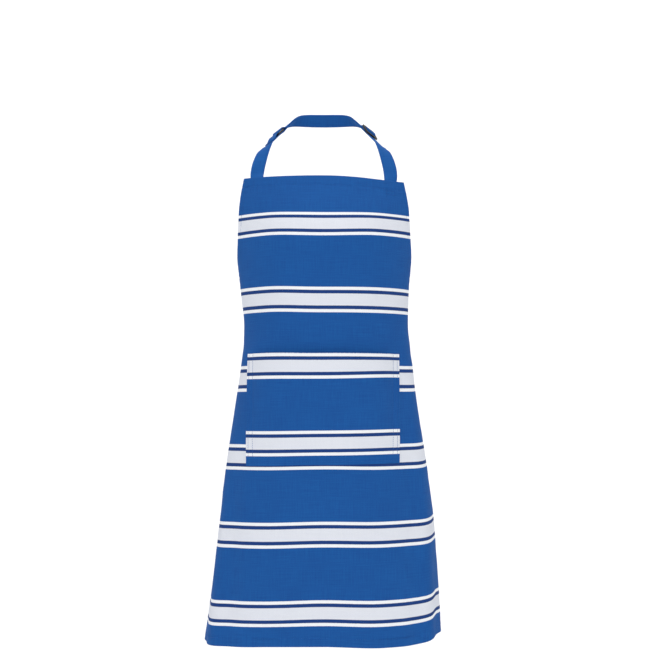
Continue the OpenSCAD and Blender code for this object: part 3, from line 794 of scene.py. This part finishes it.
def panel_line(points, groove=GROOVE):
    u, v = dense(points).T
    return cloth(u, v, CLOTH_T - groove + THREAD_LIFT), cloth_normal(u, v)


def pocket_line(points):
    u, v = dense(points).T
    return pocket_cloth(u, v, pocket_out(u, v) + THREAD_LIFT), cloth_normal(u, v)


def armhole_line(side):
    v = ARMHOLE_LEN * (1 - (1 - np.linspace(0.008, 0.985, 40)) ** 1.6)
    return [[side * (flat_half(x) - HEM_W * float(edge_slope(x))), x] for x in v]


def sew(name, lines, *nodes, body="apron"):
    return dress(stitches(name, lines), blue_thread, "blue_thread", body, *nodes)


def level_line(half, v):
    return [[-half, v], [half, v]]


panel_stitching = [
    sew("stitches_bib_hem", [panel_line(level_line(BIB_W / 2 + 3, BIB_STITCH))], "bib_hem_stitching")]
for side, word in SIDES:
    panel_stitching.append(
        sew("stitches_armhole_" + word, [panel_line(armhole_line(side))], "armhole_stitching_" + word))
for side, word in SIDES:
    u = side * (APRON_W / 2 - HEM_W)
    panel_stitching.append(
        sew("stitches_side_" + word, [panel_line([[u, ARMHOLE_LEN + 8], [u, APRON_LEN - 3]])],
            "side_hem_stitching_" + word))
panel_stitching.append(
    sew("stitches_bottom_hem", [panel_line(level_line(APRON_W / 2 - 3, APRON_LEN - BOTTOM_STITCH))],
        "bottom_hem_stitching"))


def pocket_round(inset):
    u, bottom = POCKET_W / 2 - inset, POCKET_AT + POCKET_H - inset
    return [[-u, POCKET_AT + 2], [-u, bottom], [u, bottom], [u, POCKET_AT + 2]]


MOUTH_LINE = level_line(POCKET_W / 2 - POCKET_INNER - 4, POCKET_AT + MOUTH_STITCH)
pocket_stitching = [
    sew("stitches_pocket_mouth", [pocket_line(MOUTH_LINE)], "pocket_mouth_stitching"),
    sew("stitches_pocket_outer", [pocket_line(pocket_round(POCKET_OUTER))], "pocket_outer_stitching"),
    sew("stitches_pocket_inner", [pocket_line(pocket_round(POCKET_INNER))], "pocket_inner_stitching"),
]


def box_cross(u, v, w, h):
    """A square of stitching, and then the two lines of a cross in it, in flat coordinates."""
    left, right, top, bottom = u - w / 2, u + w / 2, v - h / 2, v + h / 2
    a, b, c, d = [left, top], [right, top], [right, bottom], [left, bottom]
    return [[a, b, c, d, a], [a, c], [b, d]]


BOX_W = STRAP_W - 5
# The strap's box: height and distance below the bib edge; the tie's box: width and distance inwards
STRAP_BOX_H, STRAP_BOX_AT = 9.0, 25.5
TIE_BOX_W, TIE_BOX_IN = 15.0, 21.0
for side, word in SIDES:
    square = box_cross(side * STRAP_U, STRAP_BOX_AT, BOX_W, STRAP_BOX_H)[0]
    panel_stitching.append(
        sew("stitches_strap_" + word, [panel_line(square, 0)], "strap_box_stitching_" + word))
    crossed = box_cross(side * (TIE_U - TIE_BOX_IN), TIE_V, TIE_BOX_W, BOX_W)
    panel_stitching.append(
        sew("stitches_tie_" + word, [panel_line(p, 0) for p in crossed], "tie_box_stitching_" + word))

# ---- the neck strap


def mirrored(p):
    return np.asarray(p, float) * np.array([-1, 1, 1])


def square_to(a, t):
    a = np.asarray(a, float)
    return unit(a - np.dot(a, t) * t)


SHOULDER = np.array([105.0, -72.0, Z_BIB + 66.6])
NECK_SIDE = np.array([74.0, -26.0, Z_BIB + 108.1])
# Shares of the way from the shoulder to the neck's side where the slider and the ring sit
SLIDER_SHARE, RING_SHARE = 0.7, 0.58
HARDWARE = SHOULDER + (NECK_SIDE - SHOULDER) * SLIDER_SHARE
FRONT_RUN = [[121.5, -104, Z_BIB + 9.6], [119, -98, Z_BIB + 26.6], [112, -86, Z_BIB + 51.6]]
ALONG = unit(NECK_SIDE - SHOULDER)


def faced(t, degrees):
    """Outward direction of a strap that runs along t, turned from facing front."""
    f, w = square_to([0, -1, 0], t), math.radians(degrees)
    return f * math.cos(w) + np.cross(t, f) * math.sin(w)


SIDE_TURN = 72
OUT_SIDE = faced(ALONG, SIDE_TURN)
WIDE_SIDE = np.cross(OUT_SIDE, ALONG)
WIDE_BIB = unit([-0.866, -0.5, 0])
WIDE_NAPE = np.array([0, -0.6, 0.8])
NAPE_NORMAL = np.array([0, 0.8, 0.6])
NAPE_LEAD, NAPE_FLAT = 38.0, 46.0
SECOND_LEVEL = STRAP_T + AIR


def on_side(side, p):
    return np.asarray(p, float) if side > 0 else mirrored(p)


def spline(points, steps):
    points = np.asarray(points, float)
    at = run_of(points)
    s = np.concatenate([np.linspace(a, b, steps + 1)[:-1] for a, b in zip(at, at[1:])] + [[at[-1]]])
    return smooth(s, at, points)


# Angles by which a strap has turned from facing front, and how far it runs on past the shoulder
FRONT_TURN = [12, 14, 33, 58]
FRONT_STEPS, RUN_ON = 6, 8


def front_points(side):
    out = -AIR - STRAP_T / 2 - (HEM_T - CLOTH_T)
    sewn = [cloth(side * STRAP_U, v, out) for v in (STRAP_SEWN, STRAP_SEWN / 2, 1.0)]
    return np.array(sewn + [on_side(side, p) for p in FRONT_RUN + [SHOULDER, SHOULDER + ALONG * RUN_ON]])


def front_path(side):
    return spline(front_points(side), FRONT_STEPS)


def front_wide(side, n):
    p = front_points(1)
    knots = [WIDE_BIB] * 3
    for i in range(3, 7):
        t = unit(p[i + 1] - p[i - 1])
        knots.append(np.cross(faced(t, FRONT_TURN[i - 3]), t))
    knots.append(WIDE_SIDE)
    wide = smooth(np.arange(n) / FRONT_STEPS, np.arange(len(knots)), np.array(knots))
    return np.array([on_side(side, p) for p in wide])


def nape_half(t):
    a, b = NECK_SIDE, NECK_SIDE + ALONG * NAPE_LEAD
    d = NAPE_NORMAL * STRAP_T / 2
    c = d + np.array([NAPE_FLAT, 0, 0])
    return (1 - t) ** 3 * a + 3 * (1 - t) ** 2 * t * b + 3 * (1 - t) * t**2 * c + t**3 * d


def nape_frame(s):
    """Point, outward direction and width direction at s, from 0 on +X to 2 on -X."""
    if s > 1:
        return [mirrored(p) for p in nape_frame(2 - s)]
    e = float(ease(s))
    out = unit(OUT_SIDE + (NAPE_NORMAL - OUT_SIDE) * e)
    return [nape_half(s), out, unit(WIDE_SIDE + (WIDE_NAPE - WIDE_SIDE) * e)]


NAPE_STEPS = 40
NAPE = [nape_frame(2 * i / NAPE_STEPS) for i in range(NAPE_STEPS + 1)]
NAPE_ACROSS = [wide for _, _, wide in NAPE]


def nape_path(level):
    return [point + out * level for point, out, _ in NAPE]


def turn(centre, way, out, radius, start, end, steps):
    w = np.radians(np.linspace(start, end, steps + 1))[:, None]
    return list(centre + way * radius * np.cos(w) + out * radius * np.sin(w))


RING_WAY, RING_OUT, RING_WIDE = mirrored(ALONG), mirrored(OUT_SIDE), mirrored(WIDE_SIDE)
BAR_LEVEL = STRAP_T / 2 + AIR + RING_WIRE / 2
RING_MIDDLE = mirrored(SHOULDER + (NECK_SIDE - SHOULDER) * RING_SHARE) + RING_OUT * BAR_LEVEL
RING_LOW, RING_HIGH = RING_MIDDLE - RING_WAY * RING_LEN / 2, RING_MIDDLE + RING_WAY * RING_LEN / 2
TIP_ROOM, LOOP_FOLD, TURN_STEPS = 1.3, 22.0, 14
HIGH_LOOP = BAR_LEVEL + TIP_ROOM
SLIDER_LEVEL = STRAP_T * 1.5 + 2 * AIR + SLIDER_T / 2
SLIDER_MIDDLE = HARDWARE + OUT_SIDE * SLIDER_LEVEL
END_LOOP = SLIDER_T / 2 + AIR + STRAP_T / 2 + 0.35
END_REACH = 17.0


def short_strap():
    run = front_path(-1)
    foot = RING_LOW - RING_OUT * BAR_LEVEL
    path = list(run) + [run[-1] + (foot - run[-1]) * t for t in (0.25, 0.5, 0.8)]
    path += turn(RING_LOW, RING_WAY, RING_OUT, BAR_LEVEL, -90, 90, TURN_STEPS)
    for s in (0.2, 0.4, 0.6, 0.8, 1.0):
        level = BAR_LEVEL - (2 * BAR_LEVEL - SECOND_LEVEL) * float(ease(s * 1.5))
        path.append(RING_LOW + RING_OUT * level - RING_WAY * LOOP_FOLD * s)
    across = list(front_wide(-1, len(run))) + [RING_WIDE] * (len(path) - len(run))
    return np.array(path), np.array(across)


def long_strap():
    """The whole long strap, and the index where its doubled layer starts."""
    run = front_path(1)
    foot = RING_HIGH - RING_OUT * HIGH_LOOP
    path = list(run) + [(run[-1] + HARDWARE) / 2, HARDWARE, (HARDWARE + NECK_SIDE) / 2]
    across = list(front_wide(1, len(run))) + [WIDE_SIDE] * 3
    path += nape_path(0)
    across += NAPE_ACROSS
    path += [mirrored(NECK_SIDE) + (foot - mirrored(NECK_SIDE)) * t for t in (0.3, 0.7)]
    path += turn(RING_HIGH, RING_WAY, RING_OUT, HIGH_LOOP, 270, 90, TURN_STEPS)
    split = len(path) - 1
    path += [
        RING_HIGH + RING_WAY * 5 + RING_OUT * (HIGH_LOOP * 0.8),
        RING_HIGH + RING_WAY * 13 + RING_OUT * (SECOND_LEVEL - BAR_LEVEL),
    ]
    across += [RING_WIDE] * (len(path) - len(across))
    path += nape_path(SECOND_LEVEL)[::-1]
    across += NAPE_ACROSS[::-1]
    path += [HARDWARE + ALONG * (END_REACH + 0.6) + OUT_SIDE * SECOND_LEVEL]
    across += [WIDE_SIDE]
    return np.array(path), np.array(across), split


def end_loop():
    low = HARDWARE + OUT_SIDE * SECOND_LEVEL
    third = SECOND_LEVEL + STRAP_T + AIR
    path = [low + ALONG * END_REACH, low + ALONG * 9, low + ALONG * 4]
    path += turn(SLIDER_MIDDLE, ALONG, OUT_SIDE, END_LOOP, 240, 75, 12)
    path += [
        HARDWARE + ALONG * 5.2 + OUT_SIDE * (SLIDER_LEVEL + 2.4),
        HARDWARE + ALONG * 7.6 + OUT_SIDE * (third + 0.35),
        HARDWARE + ALONG * 10 + OUT_SIDE * third,
        HARDWARE + ALONG * END_REACH + OUT_SIDE * third,
    ]
    return np.array(path), np.array([WIDE_SIDE] * len(path))


def topstitch(path, across, skip=(2.0, 2.0), pinch=1.0):
    """The two rows of topstitching along a band, on both of its faces, as lines for stitches()."""
    wide, up = band_frames(path, across)
    at = run_of(path)
    keep = (at >= skip[0]) & (at <= at[-1] - skip[1])
    pinch = pinch * np.ones(len(path))
    lines = []
    for x in (-TOPSTITCH_AT, TOPSTITCH_AT):
        for face in (1, -1):
            level = face * (STRAP_T / 2 * 0.72 + 0.04) + trough(x, pinch)
            line = path + wide * (x * STRAP_W / 2 * pinch)[:, None] + up * level[:, None]
            lines.append((line[keep], up[keep] * face))
    return lines


def band_piece(name, path, across, body, nodes, thread_name, step=2.2, **kw):
    path, across = resample(path, across, step)
    obj = band_mesh(name, path, across, waver=0.05, **kw)
    dress(obj, strap_cotton, "strap_cotton", body, *nodes)
    return obj, sew(thread_name, topstitch(path, across), body=body)


def length_of(path):
    return float(run_of(path)[-1])


path, across = short_strap()
short_piece, short_sewn = band_piece(
    "neck_strap_ring_end", path, across, "apron", ["neck_strap_short"], "topstitch_ring_end")

path, across, split = long_strap()
long_length, run_length = length_of(path), length_of(path[: split + 1])
long_piece, long_sewn = band_piece(
    "neck_strap_run", path[: split + 1], across[: split + 1], "apron", ["neck_strap_long"], "topstitch_run")
second, second_sewn = band_piece(
    "neck_strap_return", path[split:], across[split:], None, [], "topstitch_return", start=run_length)
BLEND_FROM = nape_frame(0.42)[0]
for piece in (second, second_sewn):
    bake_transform(piece)

path, across = end_loop()
loop_piece, loop_sewn = band_piece(
    "strap_end_fold", path, across, "slider", ["strap_end_loop"], "topstitch_end_fold", step=1.0)

# The tacks that close the two loops: length, distance in from the cut end, and their thread's lift
RING_TACK_LEN, RING_TACK_IN = 8.0, 5.5
SLIDER_TACK_LEN, SLIDER_TACK_IN = 5.2, 3.1
TACK_LIFT = 0.04


def tack(middle, way, out, length):
    wide = np.cross(out, way)
    lines = []
    for shape in box_cross(0, 0, BOX_W, length):
        p = dense(shape)
        points = middle + np.outer(p[:, 0], wide) + np.outer(p[:, 1], way)
        lines.append((points, np.tile(out, (len(p), 1))))
    return lines


level = SECOND_LEVEL - BAR_LEVEL + STRAP_T / 2 + TACK_LIFT
place = RING_LOW - RING_WAY * (LOOP_FOLD - RING_TACK_IN) + RING_OUT * level
sew("stitches_ring_tack", tack(place, RING_WAY, RING_OUT, RING_TACK_LEN), "ring_loop_stitching")
level = SECOND_LEVEL + STRAP_T * 1.5 + AIR + TACK_LIFT
place = HARDWARE + ALONG * (END_REACH - SLIDER_TACK_IN) + OUT_SIDE * level
sew("stitches_slider_tack", tack(place, ALONG, OUT_SIDE, SLIDER_TACK_LEN), "slider_loop_stitching",
    body="slider")

# ---- the ring and the slider


def to_world(points, centre, way, out):
    side = np.cross(out, way)
    p = np.asarray(points, float)
    return centre + np.outer(p[:, 0], way) + np.outer(p[:, 1], side) + np.outer(p[:, 2], out)


def rounded_loop(half_x, half_y, r, steps=8):
    """A rectangle with round corners, anticlockwise, as its four corners' points."""
    corners = []
    for q, (sx, sy) in enumerate(((1, 1), (-1, 1), (-1, -1), (1, -1))):
        w = np.radians(np.linspace(q * 90, q * 90 + 90, steps + 1))
        x, y = sx * (half_x - r) + r * np.cos(w), sy * (half_y - r) + r * np.sin(w)
        corners.append(np.stack([x, y], axis=1))
    return corners


WIRE_SIDES, RING_BEND = 20, 3.0


def build_ring():
    """A rectangle of round wire with rounded corners."""
    corners = rounded_loop(RING_LEN / 2, HARDWARE_GAP / 2 + RING_WIRE / 2, RING_BEND)
    line = []
    for corner, following in zip(corners, corners[1:] + corners[:1]):
        straight = following[0] - corner[-1]
        count = 8 if np.linalg.norm(straight) > 15 else 5
        line += list(corner) + [corner[-1] + straight * k / count for k in range(1, count)]
    line = np.array(line)
    t = unit(np.roll(line, -1, axis=0) - np.roll(line, 1, axis=0))
    w = 2 * math.pi * np.arange(WIRE_SIDES) / WIRE_SIDES
    r, n = RING_WIRE / 2, len(line)
    points = np.zeros((n, WIRE_SIDES, 3))
    points[:, :, :2] = line[:, None] + np.stack([t[:, 1], -t[:, 0]], axis=1)[:, None] * r * np.cos(w)[:, None]
    points[:, :, 2] = r * np.sin(w)
    return new_object("wire_ring", to_world(points.reshape(-1, 3), RING_MIDDLE, RING_WAY, RING_OUT),
                      grid_faces(n, WIRE_SIDES, loop=True))


dress(build_ring(), metal, "black_hardware", "ring", "strap_ring")


SLIDER_CORNER, SLOT_CORNER, SLIDER_BEVEL = 3.0, 0.8, 0.55


def build_slider():
    """A cast three-bar slider: a plate with two slots and rounded edges all over."""
    outer_y = HARDWARE_GAP / 2 + SLIDER_BAR
    slot_x = (SLIDER_LEN - 3 * SLIDER_BAR) / 2
    shift = (slot_x + SLIDER_BAR) / 2
    loops = [np.concatenate(rounded_loop(SLIDER_LEN / 2, outer_y, SLIDER_CORNER))]
    slot = np.concatenate(rounded_loop(slot_x / 2, HARDWARE_GAP / 2, SLOT_CORNER, 4))
    loops += [slot + [s * shift, 0] for s in (-1, 1)]
    bm = bmesh.new()
    edges = []
    for loop in loops:
        verts = [bm.verts.new((x, y, -SLIDER_T / 2)) for x, y in loop]
        edges += [bm.edges.new((a, b)) for a, b in zip(verts, verts[1:] + verts[:1])]
    bmesh.ops.triangle_fill(bm, use_beauty=True, use_dissolve=False, edges=edges)
    # drop any triangle that the fill put inside a slot
    for f in list(bm.faces):
        c = f.calc_center_median()
        if any(abs(c.x - s * shift) < slot_x / 2 and abs(c.y) < HARDWARE_GAP / 2 for s in (-1, 1)):
            bm.faces.remove(f)
    bmesh.ops.dissolve_limit(bm, angle_limit=0.01, verts=bm.verts[:], edges=bm.edges[:])
    got = bmesh.ops.extrude_face_region(bm, geom=bm.faces[:])
    for v in [g for g in got["geom"] if isinstance(g, bmesh.types.BMVert)]:
        v.co.z += SLIDER_T
    bmesh.ops.recalc_face_normals(bm, faces=bm.faces[:])
    mesh = bpy.data.meshes.new("three_bar_slider")
    bm.to_mesh(mesh)
    bm.free()
    tip = math.radians(SLIDER_TIP)
    way = ALONG * math.cos(tip) + OUT_SIDE * math.sin(tip)
    out = OUT_SIDE * math.cos(tip) - ALONG * math.sin(tip)
    world = to_world([v.co for v in mesh.vertices], SLIDER_MIDDLE, way, out) * MM
    for v, p in zip(mesh.vertices, world):
        v.co = p
    obj = put_in_scene("three_bar_slider", mesh)
    bevel = obj.modifiers.new("edges", "BEVEL")
    bevel.width = SLIDER_BEVEL * MM
    bevel.segments = 3
    bevel.angle_limit = math.radians(40)
    apply_modifiers(obj)
    return obj


def apply_modifiers(obj):
    """Turns the modified shape into the object's own mesh, shaded smooth."""
    graph = bpy.context.evaluated_depsgraph_get()
    graph.update()
    mesh = bpy.data.meshes.new_from_object(obj.evaluated_get(graph))
    obj.modifiers.clear()
    obj.data = mesh
    shade_smooth(mesh)


dress(build_slider(), metal, "black_hardware", "slider", "strap_slider")

# ---- the waist ties and their bow

KNOT_Z = Z_BIB - TIE_V - 4
# Route of a tie's bow loop and of its tail, about the knot
LOOP_ROUTE = [[-3, 15, 0], [30, 17, 6], [66, 19, 3], [LOOP_LEN - 6, 21, -9], [LOOP_LEN, 25, -12],
              [LOOP_LEN - 7, 29.5, -12], [62, 29, -6], [30, 28, -2], [9, 28, 0]]
TAIL_ROUTE = [[-4, 28.5, -6], [-11, 29, -20], [-15, 28, -44], [-20, 25, -TAIL_LEN * 0.35],
              [-27, 21, -TAIL_LEN * 0.7], [-33, 19, -TAIL_LEN]]
KNOT_MIDDLE = np.array([0, 23.5, KNOT_Z - 3])


def tie_points(side, lift):
    out = -AIR - STRAP_T / 2 - (HEM_T - CLOTH_T)
    sewn = [cloth(side * (TIE_U - du), TIE_V, out) for du in (TIE_SEWN, TIE_SEWN / 2, 1)]
    lead = [np.array([side * 13, 6.5 + lift / 2, KNOT_Z + 1])]
    bow = [np.array([-side * p[0], p[1] + lift, p[2] + KNOT_Z]) for p in LOOP_ROUTE + TAIL_ROUTE]
    return np.array(sewn + lead + bow)


# Where along a tie it turns from lying flat to hanging: share of its points and how gradually
TIE_BEND, BEND_LEAD, BEND_LEN = 12 / 17, 0.04, 0.1
# How much the knot narrows and thickens the ties, and the size of its hold
GATHER, GATHER_FAT, GATHER_R, GATHER_Y = 0.42, 0.5, 17, 0.35


def build_tie(side, lift, word):
    path = spline(tie_points(side, lift), 6)
    t = np.linspace(0, 1, len(path))
    e = ease((t - TIE_BEND + BEND_LEAD) / BEND_LEN)[:, None]
    across = np.array([0, 0, 1.0]) * (1 - e) + np.array([side, 0, 0.0]) * e
    path, across = resample(path, across, 2.6)
    # the band is gathered where the knot holds it
    reach = np.linalg.norm((path - KNOT_MIDDLE) * np.array([1, GATHER_Y, 1]), axis=1)
    held = np.exp(-((reach / GATHER_R) ** 4))
    pinch = 1 - GATHER * held
    # hanging tails wander and twist a little
    s = run_of(path)
    down = ease((s - (s[-1] - TAIL_LEN + 40)) / TAIL_LEN)
    path = path + np.outer(2.2 * np.sin(s * 0.021 + side) * down, [0, 1, 0])
    path = path + np.outer(2.6 * np.sin(s * 0.016 + 2 * side) * down, [1, 0, 0])
    twist = 0.34 * np.sin(s * 0.014 + side * 0.8) * down
    across = across + np.outer(np.sin(twist), [0, 1, 0])
    fat = 1 + GATHER_FAT * held
    obj = band_mesh("waist_tie_wearer_" + word, path, across, pinch=pinch, fat=fat, waver=0.08)
    dress(obj, strap_cotton, "strap_cotton", "apron", "waist_tie_" + word)
    sewn = sew("topstitch_tie_" + word, topstitch(path, across, skip=(2, 6), pinch=pinch))
    return obj, sewn, float(s[-1])


tie_left, tie_left_sewn, tie_left_length = build_tie(1, 3.4, "left")
tie_right, tie_right_sewn, tie_right_length = build_tie(-1, 0.0, "right")


KNOT_DEPTH, KNOT_HEIGHT, KNOT_WIDTH, KNOT_POWER = 12.0, 12.5, 17.0, 0.82
KNOT_TURNS, KNOT_COLS = 40, 17
# Shares of the wrap's size that are left for its hollow inside
KNOT_INNER = np.array([0.93, 0.82, 0.82])


def build_knot():
    """The wrap of the bow: a gathered band closed round the crossing, with creases along it."""
    n = KNOT_TURNS * KNOT_COLS
    points, uvs = [], []
    for i in range(KNOT_TURNS):
        w = 2 * math.pi * i / KNOT_TURNS
        c, s = math.cos(w), math.sin(w)
        pull = 1 + 0.10 * math.cos(2 * w)
        for x in np.linspace(-1, 1, KNOT_COLS):
            crown = 1 - 0.34 * abs(x) ** 2.6
            crease = 0.7 * math.sin(x * 7.5 + 0.8 * s) * (1 - x * x)
            y = math.copysign(abs(c) ** KNOT_POWER, c) * (KNOT_DEPTH * crown + crease) * pull
            z = math.copysign(abs(s) ** KNOT_POWER, s) * (KNOT_HEIGHT * crown + crease)
            across = x * KNOT_WIDTH / 2
            points.append(KNOT_MIDDLE + np.array([across * (1 - 0.12 * abs(s)) + 0.16 * z, y, z]))
            uvs.append((across, i * 2.0))
    inner = KNOT_MIDDLE + (np.array(points) - KNOT_MIDDLE) * KNOT_INNER
    faces = grid_faces(KNOT_TURNS, KNOT_COLS, loop=True, tube=False)
    faces += [tuple(n + q for q in f[::-1]) for f in faces]
    for i in range(KNOT_TURNS):
        a, b = i * KNOT_COLS, (i + 1) % KNOT_TURNS * KNOT_COLS
        e = KNOT_COLS - 1
        faces += [(a, n + a, n + b, b), (a + e, b + e, n + b + e, n + a + e)]
    obj = new_object("bow_knot", np.concatenate([points, inner]), faces, uvs * 2)
    obj.modifiers.new("round", "SUBSURF").levels = 1
    apply_modifiers(obj)
    return obj


knot = dress(build_knot(), strap_cotton, "strap_cotton", "apron")

# ---- floor, backdrop, lights and camera

FLOOR_Z = -1.32
FLOOR_FRONT, FLOOR_HALF, WALL_TOP = -6.0, 9.0, 6.5
BACK_Y, CURVE_R = 2.6, 1.4


def build_backdrop():
    """A floor that curves up into a wall behind the apron."""
    w = np.linspace(0, math.pi / 2, 25)
    curve = zip(BACK_Y - CURVE_R + CURVE_R * np.sin(w), CURVE_R * (1 - np.cos(w)))
    profile = [(FLOOR_FRONT, 0.0), *curve, (BACK_Y, WALL_TOP)]
    points = [(x / MM, y / MM, (z + FLOOR_Z) / MM) for y, z in profile for x in (-FLOOR_HALF, FLOOR_HALF)]
    faces = [(2 * k, 2 * k + 1, 2 * k + 3, 2 * k + 2) for k in range(len(profile) - 1)]
    obj = new_object("studio_floor", points, faces)
    n = Nodes("pale_floor")
    tone = n.noise(n.add("ShaderNodeTexCoord").outputs["Object"], 3.0, 2.0)
    n.shade({"Base Color": n.mix(tone, (0.93, 0.93, 0.93, 1), (0.96, 0.96, 0.96, 1)),
             "Roughness": 0.9, "Specular IOR Level": 0.1})
    obj.data.materials.append(n.material)


build_backdrop()

world = bpy.data.worlds.new("studio")
bpy.context.scene.world = world
world.use_nodes = True
background = world.node_tree.nodes["Background"]
background.inputs["Color"].default_value = (1.0, 1.0, 1.0, 1)
background.inputs["Strength"].default_value = 0.64


def area_light(name, place, target, size, power):
    data = bpy.data.lights.new(name, "AREA")
    data.shape = "RECTANGLE"
    data.size, data.size_y = size
    data.energy = power
    obj = put_in_scene(name, data)
    obj.location = place
    obj.rotation_euler = (Vector(target) - Vector(place)).to_track_quat("-Z", "Y").to_euler()


middle = (0.0, -0.10, -0.48)
area_light("key", (-1.0, -3.1, 1.0), middle, (1.8, 1.8), 25)
area_light("fill", (1.2, -3.1, 0.5), middle, (1.8, 1.8), 17)
area_light("top", (0.0, -0.2, 2.3), middle, (2.4, 2.4), 6)
area_light("wall", (0.0, 0.4, 2.6), (0.0, 2.6, 0.2), (4.0, 1.6), 60)

# The photo's camera: place in metres, lens in mm and tilt above level in degrees
CAMERA_AT, CAMERA_LENS, CAMERA_TILT = (0.0076, -2.44, -0.5117), 70.76524, 2.753
camera_data = bpy.data.cameras.new("camera")
camera_data.sensor_width = 36.0
camera_data.lens = CAMERA_LENS
camera = put_in_scene("camera", camera_data)
camera.location = CAMERA_AT
camera.rotation_euler = (math.radians(90 + CAMERA_TILT), 0, 0)
bpy.context.scene.camera = camera

settings = bpy.context.scene.view_settings
settings.view_transform = "Standard"
settings.look = "None"
settings.exposure = 0.0
settings.gamma = 1.0
